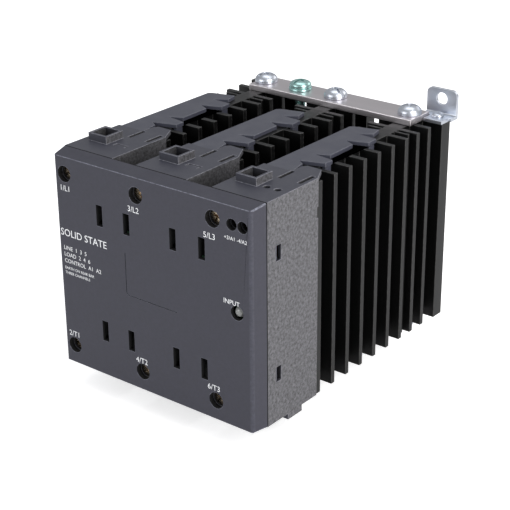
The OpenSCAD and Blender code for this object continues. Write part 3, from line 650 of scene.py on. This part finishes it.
# painted shade on the cover's hole and slot walls and in the seam groove
shadeDeep(cover, shadeShape, seamDepth, coverInside)
paintedEdgeLight = cover.data.attributes["edgeMask"]
for face in cover.data.polygons:  # the wide upright corners keep only a faint, even painted highlight
    if abs(face.normal.x) > 0.2 and abs(face.normal.y) > 0.2 and abs(face.normal.z) < 0.1:
        for loop in face.loop_indices:
            paintedEdgeLight.data[loop].value = min(paintedEdgeLight.data[loop].value, coverShape["cornerLight"])
print("front cover made")

# channel housings and strips
housingLook = {"color": (0.037, 0.038, 0.053), "sideColor": (0.087, 0.086, 0.094), "calm": 0.12,
               "roughness": 0.5, "roughSwing": 0.25, "grainScale": 2600.0, "fleck": 5.4, "bump": 0.8,
               "bumpHeight": 0.00007, "sharpness": 0.8, "drift": 0.06, "wornAndLit": (0.26, 0.26, 0.3),
               "wearAndLight": 0.65, "dust": 0.03, "deep": 0.9, "shader": {"IOR": 1.5}}
stripLook = {"color": (0.047, 0.049, 0.068), "roughness": 0.46, "grainScale": 3200.0, "fleck": 0.25,
             "bump": 0.2, "drift": 0.2, "wornAndLit": (0.16, 0.165, 0.19), "wearAndLight": 0.45, "dust": 0.05,
             "shader": {"IOR": 1.5}}
housingPlastic = makeFinish("housingPlastic", housingLook)
stripPlastic = makeFinish("stripPlastic", stripLook)
for number in (1, 2, 3):
    housing = refine("housing_%d" % number, housingPlastic, "housing_plastic", width=0.2, segments=2)
    # painted shade in the housing's recesses and in the seam groove
    shadeDeep(housing, shadeShape, seamDepth)
    refine("top_strip_%d" % number, stripPlastic, "strip_plastic", width=0.28)
    refine("bottom_strip_%d" % number, stripPlastic, "strip_plastic", width=0.28)
print("housings and strips made")

# heat sinks, tie bars
sinkLook = {"color": (0.0024, 0.0024, 0.0025), "roughness": 0.4, "roughSwing": 0.2,
            "stretch": (1.0, 1.0, 0.006), "grainScale": 1800.0, "fleck": 0.6, "bump": 0.2,
            "bumpHeight": 0.00002, "wornAndLit": (0.075, 0.073, 0.072), "wearAndLight": 0.8, "dust": 0.004,
            "shader": {"Metallic": 0.3}}
barLook = {"color": (0.66, 0.62, 0.635), "roughness": 0.36, "roughSwing": 0.25, "stretch": (0.012, 1.0, 1.0),
           "grainScale": 1600.0, "fleck": 0.35, "bump": 0.35, "bumpHeight": 0.00002,
           "wornAndLit": (0.95, 0.9, 0.91), "wearAndLight": 0.9, "dust": 0.04, "shader": {"Metallic": 1.0}}
blackAnodised = makeFinish("blackAnodised", sinkLook)
brushedAluminium = makeFinish("brushedAluminium", barLook)
for number in (1, 2, 3):
    refine("heat_sink_%d" % number, blackAnodised, "black_anodised", width=0.22, segments=2)
for node in ("top_tie_bar", "bottom_tie_bar"):
    refine(node, brushedAluminium, "bare_aluminium", width=0.35)
print("heat sinks and tie bars made")

# brackets
zincLook = {"color": (0.6, 0.63, 0.69), "roughness": 0.34, "roughSwing": 0.12, "grainScale": 900.0,
            "fleck": 0.1, "bump": 0.05, "bumpHeight": 0.00002, "drift": 0.14, "driftScale": 110.0,
            "wornAndLit": (0.9, 0.92, 0.95), "wearAndLight": 0.4, "dust": 0.04, "shader": {"Metallic": 1.0}}
bracketShape = {"edge": 0.12, "outerBend": 1.5, "innerBend": 0.6, "sheet": 1.6, "near": 0.1}
zincSteel = makeFinish("zincSteel", zincLook)
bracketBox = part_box("top_bracket")


def bracketWidthOf(edge):
    # the sheet is bent where the foot meets the upright tab
    middle = (edge.verts[0].co + edge.verts[1].co) / 2
    direction = (edge.verts[1].co - edge.verts[0].co).normalized()
    sheet, near = bracketShape["sheet"] * mm, bracketShape["near"] * mm
    rise = abs(middle.z) - abs(bracketBox[0].z)
    if abs(direction.x) > 0.95 and abs(rise) < near and middle.y > bracketBox[1].y - near:
        return bracketShape["outerBend"]
    if abs(direction.x) > 0.95 and abs(rise - sheet) < near and abs(middle.y - bracketBox[1].y + sheet) < near:
        return bracketShape["innerBend"]
    return bracketShape["edge"]


for node in ("top_bracket", "bottom_bracket"):
    refine(node, zincSteel, "zinc_steel", widthOf=bracketWidthOf, segments=4)
print("brackets made")

# rail clip
for node in ("rail_carrier", "rail_latch"):
    refine(node, zincSteel, "zinc_steel", width=0.2, segments=2)
springLook = {"color": (0.5, 0.51, 0.53), "roughness": 0.25, "grainScale": 1500.0, "fleck": 0.2, "bump": 0.1,
              "shader": {"Metallic": 1.0}}
springShape = {"wire": 0.7, "turns": 6, "across": 4.4, "steps": 40, "flatTurns": 0.1, "endRise": 0.12}
springSteel = makeFinish("springSteel", springLook)


def makeSpring(values):
    low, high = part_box("latch_spring")
    middle = (low + high) / 2
    wire = values["wire"] * mm
    radius = (values["across"] * mm - wire) / 2
    total = values["turns"] * values["steps"]
    curve = bpy.data.curves.new("latchSpring", "CURVE")
    curve.dimensions = "3D"
    spline = curve.splines.new("POLY")
    spline.points.add(total)
    for index in range(total + 1):
        share = index / total
        flat = values["flatTurns"]  # the share of the wire that lies flat at each end
        eased = min(1.0, max(0.0, (share - flat) / (1 - 2 * flat)))
        rise = values["endRise"] * share + (1 - values["endRise"]) * eased
        turn = share * values["turns"] * math.tau
        height = low.z + wire / 2 + (high.z - low.z - wire) * rise
        aside, along = radius * math.cos(turn), radius * math.sin(turn)
        spline.points[index].co = (middle.x + aside, middle.y + along, height, 1)
    curve.bevel_depth = wire / 2
    curve.bevel_resolution = 3
    curve.use_fill_caps = True
    source = bpy.data.objects.new("springPath", curve)
    bpy.context.scene.collection.objects.link(source)
    graph = bpy.context.evaluated_depsgraph_get()
    mesh = bpy.data.meshes.new_from_object(source.evaluated_get(graph), depsgraph=graph)
    bpy.data.objects.remove(source)
    piece = addObject("latch_spring_coil", mesh, springSteel)
    smoothByArea(piece)
    join(piece, bodyOf["latch_spring"], "spring_steel", "latch_spring")
    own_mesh(piece)


makeSpring(springShape)
print("rail clip made")


# screws
def ringPoint(bm, reach, step, steps, height):
    angle = step * math.tau / steps
    return bm.verts.new((reach * mm * math.cos(angle), reach * mm * math.sin(angle), height * mm))


def stitch(bm, rings):
    # faces from ring to ring; a ring of one point closes the end
    for lower, upper in zip(rings, rings[1:]):
        steps = max(len(lower), len(upper))
        for step in range(steps):
            after = (step + 1) % steps
            if len(lower) == 1:
                bm.faces.new((lower[0], upper[after], upper[step]))
            elif len(upper) == 1:
                bm.faces.new((lower[step], lower[after], upper[0]))
            else:
                bm.faces.new((lower[step], lower[after], upper[after], upper[step]))


def latheInto(bm, profile, steps=64):
    # turns (radius, height) points about Z
    stitch(bm, [[ringPoint(bm, radius, step, steps, height) for step in range(steps if radius else 1)]
                for radius, height in profile])


threadShape = {"crest": 0.12, "flank": 0.7, "point": 0.14, "inHead": 0.3, "core": 0.98, "groove": 0.11}


def threadInto(bm, radius, depth, pitch, low, high, steps=28, rowsPerTurn=8):
    # a true helical thread: the radius falls between the crests
    rows = max(4, int((high - low) / pitch * rowsPerTurn))
    profile = []
    for row in range(rows + 1):
        height = low + (high - low) * row / rows
        ring = []
        for step in range(steps):
            phase = (height / pitch - step / steps) % 1.0
            groove = min(1.0, max(0.0, (abs(phase * 2 - 1) - threadShape["crest"]) / threadShape["flank"]))
            runOut = min(1.0, (height - low) / pitch)
            reach = (radius - depth * groove) * (1 - threadShape["point"] * (1 - runOut))
            ring.append(ringPoint(bm, reach, step, steps, height))
        profile.append(ring)
    stitch(bm, profile)
    bm.faces.new(list(reversed(profile[0])))
    bm.faces.new(profile[-1])


def wedgeCutter(length, width, top, depth, taper, turn):
    # a tapered bar that cuts one arm of a recess or a slot
    bm = bmesh.new()
    corners = []
    for height, shrink in ((top - depth, taper), (top + 1.0, 1.0 + (1 - taper) * 0.4)):
        for x, y in ((-1, -1), (1, -1), (1, 1), (-1, 1)):
            corners.append(bm.verts.new((x * length / 2 * shrink * mm, y * width / 2 * shrink * mm,
                                         height * mm)))
    for face in ((3, 2, 1, 0), (4, 5, 6, 7), (0, 1, 5, 4), (1, 2, 6, 5), (2, 3, 7, 6), (3, 0, 4, 7)):
        bm.faces.new([corners[index] for index in face])
    bmesh.ops.rotate(bm, verts=bm.verts, matrix=Matrix.Rotation(turn, 3, "Z"))
    cutter = bpy.data.objects.new("cutter", freshMesh("cutter", bm))
    bpy.context.scene.collection.objects.link(cutter)
    return cutter


def screwHead(values):
    # a head on z = 0 with a cross and a slot cut into its top, edges eased
    radius, height = values["head"] / 2, values["rise"]
    side, power = values["side"] * height, values["power"]
    steps = 16
    profile = [(0, 0), (radius * 0.95, 0), (radius, side * 0.35), (radius, side)]
    for step in range(1, steps + 1):
        angle = step / steps * math.pi / 2
        profile.append((radius * math.cos(angle) ** (2 / power) if step < steps else 0,
                        side + (height - side) * math.sin(angle) ** (2 / power)))
    bm = bmesh.new()
    latheInto(bm, profile)
    head = addObject("head", freshMesh("head", bm), values["material"])
    cutters = [wedgeCutter(values["cross"], values["arm"], height, values["deep"], values["taper"], turn)
               for turn in (0, math.pi / 2)]
    if values["slot"]:
        cutters.append(wedgeCutter(values["head"] * 1.3, values["slot"], height, values["slotDeep"], 1.0, 0))
    for cutter in cutters:
        cut = head.modifiers.new("cut", "BOOLEAN")
        cut.operation = "DIFFERENCE"
        cut.solver = "EXACT"
        cut.object = cutter
    mesh = bakeModifiers(head)
    for cutter in cutters:
        bpy.data.objects.remove(cutter)
    bpy.data.objects.remove(head)
    return mesh


def makeScrew(values):
    # the whole screw as one mesh, head up, ready to be placed
    bm = bmesh.new()
    bm.from_mesh(screwHead(values))
    shank = values["shank"] / 2
    neck = values["neck"]
    core, top = shank * threadShape["core"], threadShape["inHead"]
    latheInto(bm, [(0, -neck), (core, -neck), (core, top), (0, top)], 32)
    depth = threadShape["groove"] * values["shank"]
    threadInto(bm, shank, depth, values["pitch"], -values["length"], -neck + 0.05)
    bmesh.ops.recalc_face_normals(bm, faces=bm.faces)
    return freshMesh("screw", bm)


def placeScrews(name, values, spots, body, slot, *replaced):
    # spots are (place, direction of the head, turn in degrees)
    source = makeScrew(values)
    bm = bmesh.new()
    for place, up, turn in spots:
        start = len(bm.verts)
        bm.from_mesh(source)
        bm.verts.ensure_lookup_table()
        matrix = (Matrix.Translation(place) @ Vector(up).to_track_quat("Z", "Y").to_matrix().to_4x4()
                  @ Matrix.Rotation(math.radians(turn), 4, "Z"))
        for vertex in bm.verts[start:]:
            vertex.co = matrix @ vertex.co
    piece = addObject(name, freshMesh(name, bm), values["material"])
    bevel = piece.modifiers.new("ease", "BEVEL")
    bevel.width = values["ease"] * mm
    bevel.segments = 2
    bevel.angle_limit = math.radians(42)
    bevel.use_clamp_overlap = True
    smoothByArea(piece, 40.0)
    return join(piece, body, slot, *replaced)


greenLook = {"color": (0.4, 0.62, 0.59), "roughness": 0.27, "roughSwing": 0.15, "grainScale": 900.0,
             "fleck": 0.3, "bump": 0.06, "drift": 0.35, "driftScale": 400.0, "wornAndLit": (0.7, 0.8, 0.78),
             "wearAndLight": 0.4, "dust": 0.03, "shader": {"Metallic": 0.9}}
brassLook = {"color": (0.66, 0.55, 0.41), "roughness": 0.26, "roughSwing": 0.25, "grainScale": 1200.0,
             "fleck": 0.4, "bump": 0.12, "drift": 0.5, "driftScale": 400.0, "wornAndLit": (0.9, 0.72, 0.5),
             "wearAndLight": 0.4, "dust": 0.02, "shader": {"Metallic": 1.0}}
greenSteel = makeFinish("greenSteel", greenLook)
nickelBrass = makeFinish("nickelBrass", brassLook)
# painted shade: the control screws sit deep in their holes and are coloured near black for the shade there
holeShadeSteel = makeFinish("holeShadeSteel", dict(brassLook, color=(0.05, 0.045, 0.04), wornAndLit=(0.12, 0.11, 0.1)))
plainScrew = {"material": zincSteel, "side": 0.25, "power": 2.2, "taper": 0.55, "slot": 0, "neck": 0.6,
              "ease": 0.05}
barScrewShape = {**plainScrew, "head": 11, "rise": 4.4, "side": 0.2, "power": 2.1, "cross": 5.2, "arm": 1.2,
                 "deep": 2.0, "slot": 1.0, "slotDeep": 1.2, "shank": 5, "length": 15, "pitch": 0.8,
                 "ease": 0.1}
earthScrewShape = {**plainScrew, "material": greenSteel, "head": 10.4, "rise": 3.4, "side": 0.3, "cross": 5.0,
                   "arm": 1.1, "deep": 1.7, "slot": 1.0, "slotDeep": 1.0, "shank": 5, "length": 11.2,
                   "pitch": 0.8, "neck": 0.4, "ease": 0.1}
footScrewShape = {**plainScrew, "head": 5.4, "rise": 1.6, "cross": 2.8, "arm": 0.7, "deep": 0.8, "shank": 3,
                  "length": 8.6, "pitch": 0.5}
housingScrewShape = {**plainScrew, "head": 5.6, "rise": 2.0, "cross": 2.9, "arm": 0.7, "deep": 1.0,
                     "shank": 3, "length": 5.6, "pitch": 0.5, "turnPerMetre": 900}
carrierScrewShape = {**plainScrew, "head": 7.6, "rise": 2.8, "cross": 4.0, "arm": 1.0, "deep": 1.4,
                     "shank": 4, "length": 9.3, "pitch": 0.7, "ease": 0.06, "turnPerMetre": 2000}
terminalScrew = {**plainScrew, "side": 0.86, "power": 4.0}  # the length comes from the node
powerScrewShape = {**terminalScrew, "material": nickelBrass, "head": 6.8, "rise": 3.0, "cross": 4.2,
                   "arm": 1.15, "deep": 1.5, "slot": 1.1, "slotDeep": 1.0, "shank": 5, "pitch": 0.8,
                   "ease": 0.08}
controlScrewShape = {**terminalScrew, "material": holeShadeSteel, "head": 4.5, "rise": 2.0, "cross": 2.8,
                     "arm": 0.75, "deep": 1.0, "slot": 0.7, "slotDeep": 0.7, "shank": 2.5, "pitch": 0.45}
up, down, front, rear = (0, 0, 1), (0, 0, -1), (0, -1, 0), (0, 1, 0)
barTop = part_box("top_tie_bar")[1].z
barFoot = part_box("bottom_tie_bar")[0].z
barScrewY = 131
barSpots = []
for number, (topTurn, footTurn) in enumerate(((62, 20), (148, 75), (35, 130))):
    spot = at(number * channelPitch + channelWidth / 2, barScrewY, 0)
    barSpots.append((Vector((spot.x, spot.y, barTop)), up, topTurn))
    barSpots.append((Vector((spot.x, spot.y, barFoot)), down, footTurn))
placeScrews("bar_screws_piece", barScrewShape, barSpots, "relay", "zinc_steel", "bar_screws")
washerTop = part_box("earth_washer")[1].z
earthSpot = (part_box("earth_screw")[0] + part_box("earth_screw")[1]) / 2
placeScrews("earth_screw_piece", earthScrewShape, [(Vector((earthSpot.x, earthSpot.y, washerTop)), up, 80)],
            "earth_screw", "green_steel", "earth_screw")


washerShape = {"bore": 2.55, "boreEase": 0.05, "rimEase": 0.25, "rimRound": (0.3, 0.12, 0.08), "lip": 0.15}


def makeEarthWasher(values):
    low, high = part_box("earth_washer")
    bore, foot, rim, lip = [values[key] for key in ("bore", "boreEase", "rimEase", "lip")]
    drop, inset, step = values["rimRound"]
    radius = (high.x - low.x) / 2 / mm
    thick = (high.z - low.z) / mm
    bm = bmesh.new()
    ring = [(bore, foot), (bore + foot, 0), (radius - rim, 0), (radius, rim), (radius, thick - drop),
            (radius - inset, thick - step), (radius - drop, thick), (bore + 0.2, thick), (bore, thick - lip),
            (bore, foot)]
    latheInto(bm, ring)
    bmesh.ops.remove_doubles(bm, verts=bm.verts, dist=0.001 * mm)
    bmesh.ops.recalc_face_normals(bm, faces=bm.faces)
    bmesh.ops.translate(bm, verts=bm.verts, vec=((low.x + high.x) / 2, (low.y + high.y) / 2, low.z))
    piece = addObject("earth_washer_piece", freshMesh("earthWasher", bm), greenSteel)
    smoothByArea(piece, 40.0)
    join(piece, "earth_washer", "green_steel", "earth_washer")


makeEarthWasher(washerShape)


def diskSpots(node):
    # centres of the separate solids of a node, lowest and highest corners
    bm = welded(node)
    seen, boxes = set(), []
    for vertex in bm.verts:
        if vertex in seen:
            continue
        stack, members = [vertex], []
        seen.add(vertex)
        while stack:
            here = stack.pop()
            members.append(here.co.copy())
            for edge in here.link_edges:
                other = edge.other_vert(here)
                if other not in seen:
                    seen.add(other)
                    stack.append(other)
        low = Vector([min(co[axis] for co in members) for axis in range(3)])
        high = Vector([max(co[axis] for co in members) for axis in range(3)])
        boxes.append((low, high))
    bm.free()
    return sorted(boxes, key=lambda box: (round(box[0].x, 5), round(box[0].z, 5)))


footSpots = []
for low, high in diskSpots("bracket_screws"):
    middle = (low + high) / 2
    over = middle.z > 0
    seat = high.z - footScrewShape["rise"] * mm if over else low.z + footScrewShape["rise"] * mm
    footSpots.append((Vector((middle.x, middle.y, seat)), up if over else down, 20 if over else 65))
placeScrews("bracket_screws_piece", footScrewShape, footSpots, "relay", "zinc_steel", "bracket_screws")


def rowSpots(node, values, facing):
    # screws whose heads all look to the front or all to the rear
    spots = []
    for low, high in diskSpots(node):
        middle, rise = (low + high) / 2, values["rise"] * mm
        seat = low.y + rise if facing == front else high.y - rise
        spots.append((Vector((middle.x, seat, middle.z)), facing, middle.x * values["turnPerMetre"]))
    return spots


for node, shape, facing in (("housing_screws", housingScrewShape, front),
                            ("carrier_screws", carrierScrewShape, rear)):
    placeScrews(node + "_piece", shape, rowSpots(node, shape, facing), "relay", "zinc_steel", node)
turns = {"line_screw_1": 40, "line_screw_2": 118, "line_screw_3": 70, "load_screw_1": 15, "load_screw_2": 140,
         "load_screw_3": 55, "control_screw_1": 30, "control_screw_2": 100}
for node, turn in turns.items():
    shape = dict(controlScrewShape if node.startswith("control") else powerScrewShape)
    low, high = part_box(node)
    middle = (low + high) / 2
    shape["length"] = (high.y - low.y) / mm - shape["rise"]
    seat = Vector((middle.x, low.y + shape["rise"] * mm, middle.z))
    placeScrews(node + "_piece", shape, [(seat, front, turn)], bodyOf[node], "nickel_brass", node)
print("screws made")

# terminals and power path
clampLook = {"color": (0.6, 0.6, 0.6), "roughness": 0.33, "roughSwing": 0.25, "grainScale": 1300.0,
             "fleck": 0.3, "bump": 0.15, "wornAndLit": (0.8, 0.8, 0.8), "wearAndLight": 0.4, "shader": {"Metallic": 1.0}}
copperLook = {"color": (0.72, 0.34, 0.2), "roughness": 0.3, "roughSwing": 0.3, "stretch": (1.0, 1.0, 0.03),
              "grainScale": 1200.0, "fleck": 0.4, "bump": 0.15, "drift": 0.4, "driftScale": 220.0,
              "wornAndLit": (0.9, 0.55, 0.4), "wearAndLight": 0.4, "shader": {"Metallic": 1.0}}
clampSteel = makeFinish("clampSteel", clampLook)
copper = makeFinish("copper", copperLook)
for number in (1, 2, 3):
    for node in ("line_clamp_%d" % number, "load_clamp_%d" % number):
        refine(node, clampSteel, "clamp_steel", width=0.18, segments=2)
    for node in ("line_busbar_%d" % number, "load_busbar_%d" % number):
        refine(node, copper, "copper", width=0.15, segments=2)
    refine("module_base_%d" % number, copper, "copper", width=0.2, segments=2)
for node in ("control_clamp_1", "control_clamp_2"):
    refine(node, clampSteel, "clamp_steel", width=0.08, segments=2)
refine("control_pins", nickelBrass, "nickel_brass", width=0.1, segments=2)
ceramicLook = {"color": (0.82, 0.81, 0.78), "roughness": 0.5, "grainScale": 2500.0, "fleck": 0.1, "bump": 0.1,
               "drift": 0.06}
dieLook = {"color": (0.16, 0.18, 0.22), "roughness": 0.18, "grainScale": 1600.0, "fleck": 0.2, "bump": 0.04,
           "shader": {"Metallic": 0.7}}
varistorLook = {"color": (0.02, 0.1, 0.32), "roughness": 0.3, "grainScale": 900.0, "fleck": 0.2, "bump": 0.25,
                "drift": 0.2, "shader": {"Coat Weight": 0.4}}
boardLook = {"color": (0.006, 0.06, 0.022), "roughness": 0.34, "stretch": (1.0, 1.0, 0.25),
             "grainScale": 700.0, "fleck": 0.8, "bump": 0.25, "shader": {"Coat Weight": 0.3}}
epoxyLook = {"color": (0.014, 0.014, 0.015), "roughness": 0.45, "grainScale": 2600.0, "fleck": 0.3,
             "bump": 0.2}
for node, name, slot, look, width in (("ceramic_plates", "ceramicWhite", "ceramic_white", ceramicLook, 0.12),
                                      ("thyristor_dies", "silicon", "silicon", dieLook, 0.08),
                                      ("varistors", "varistorBlue", "varistor_blue", varistorLook, 0.5),
                                      ("control_board", "boardGreen", "board_green", boardLook, 0.12),
                                      ("optocouplers", "blackEpoxy", "black_epoxy", epoxyLook, 0.25)):
    refine(node, makeFinish(name, look), slot, width=width, segments=2)
print("terminals, power path and board made")

# indicator lamp
lampLook = {"color": (0.52, 0.53, 0.52), "roughness": 0.22, "grainScale": 600.0, "fleck": 0.05, "bump": 0.02,
            "dust": 0.0, "shader": {"Transmission Weight": 0.55, "IOR": 1.5, "Coat Weight": 0.3}}
lampShape = {"lens": 5.0, "flange": 5.8, "flangeDeep": 1.0, "body": 1.9, "ease": 0.12, "fillet": 0.06}
lampLens = makeFinish("lampLens", lampLook)


def makeLamp(values):
    low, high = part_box("indicator_lamp")
    middle = (low + high) / 2
    radius, rim = values["lens"] / 2, values["flange"] / 2
    deep, ease, fillet = values["flangeDeep"], values["ease"], values["fillet"]
    profile = [(0, 0), (rim - 0.1, 0), (rim, 0.1), (rim, deep - ease), (rim - ease, deep),
               (radius + fillet, deep), (radius, deep + fillet), (radius, values["body"])]
    steps = 12
    for step in range(1, steps + 1):
        angle = step / steps * math.pi / 2
        profile.append((radius * math.cos(angle) if step < steps else 0,
                        values["body"] + radius * math.sin(angle)))
    bm = bmesh.new()
    latheInto(bm, profile, 48)
    bmesh.ops.recalc_face_normals(bm, faces=bm.faces)
    bmesh.ops.transform(bm, verts=bm.verts, matrix=Matrix.Translation((middle.x, high.y, middle.z))
                        @ Matrix.Rotation(math.pi / 2, 4, "X"))
    piece = addObject("indicator_lamp_lens", freshMesh("lampLens", bm), lampLens)
    smoothByArea(piece, 40.0)
    join(piece, "relay", "lamp_lens", "indicator_lamp")


makeLamp(lampShape)
print("indicator lamp made")

# lettering
printLook = {"color": (0.86, 0.87, 0.88), "roughness": 0.55, "grainScale": 3000.0, "fleck": 0.12,
             "bump": 0.15, "dust": 0.0}
printShape = {"tall": 3.6, "thick": 0.012, "proud": 0.015}
whitePrint = makeFinish("whitePrint", printLook)
labels = (  # side of the text that x stands for, then words, x, height and size of each line
    ("CENTER", (("1/L1", 7.2, 84.2, 1.0), ("3/L2", 46.6, 84.0, 1.0), ("5/L3", 87.4, 83.0, 1.0),
                ("+3/A1 -4/A2", 100.8, 84.8, 0.64), ("2/T1", 7.3, 14.6, 1.0), ("4/T2", 47.8, 14.2, 1.0),
                ("6/T3", 88.1, 14.8, 1.0), ("INPUT", 98.3, 57.0, 0.82))),
    ("LEFT", (("SOLID STATE", 2.8, 63.4, 1.3), ("LINE  1  3  5", 4.1, 56.2, 0.74),
              ("LOAD  2  4  6", 4.1, 53.1, 0.74), ("CONTROL  A1  A2", 4.1, 50.0, 0.74),
              ("EARTH ON REAR BAR", 4.1, 46.6, 0.5), ("THREE CHANNELS", 4.1, 44.3, 0.5))))


def makeLabel(index, words, x, z, size, side):
    data = bpy.data.curves.new("label", "FONT")
    data.body = words
    data.size = printShape["tall"] * size * mm
    data.align_x = side
    data.align_y = "CENTER"
    data.extrude = printShape["thick"] * mm
    data.resolution_u = 3
    data.materials.append(whitePrint)
    piece = bpy.data.objects.new("label_%02d" % index, data)
    piece.location = at(x, -printShape["proud"] + printShape["thick"], z)
    piece.rotation_euler = (math.pi / 2, 0, 0)
    bpy.context.scene.collection.objects.link(piece)
    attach(piece, "relay")


lines = [(*line, side) for side, group in labels for line in group]
for index, line in enumerate(lines, 1):
    makeLabel(index, *line)
print("lettering made")
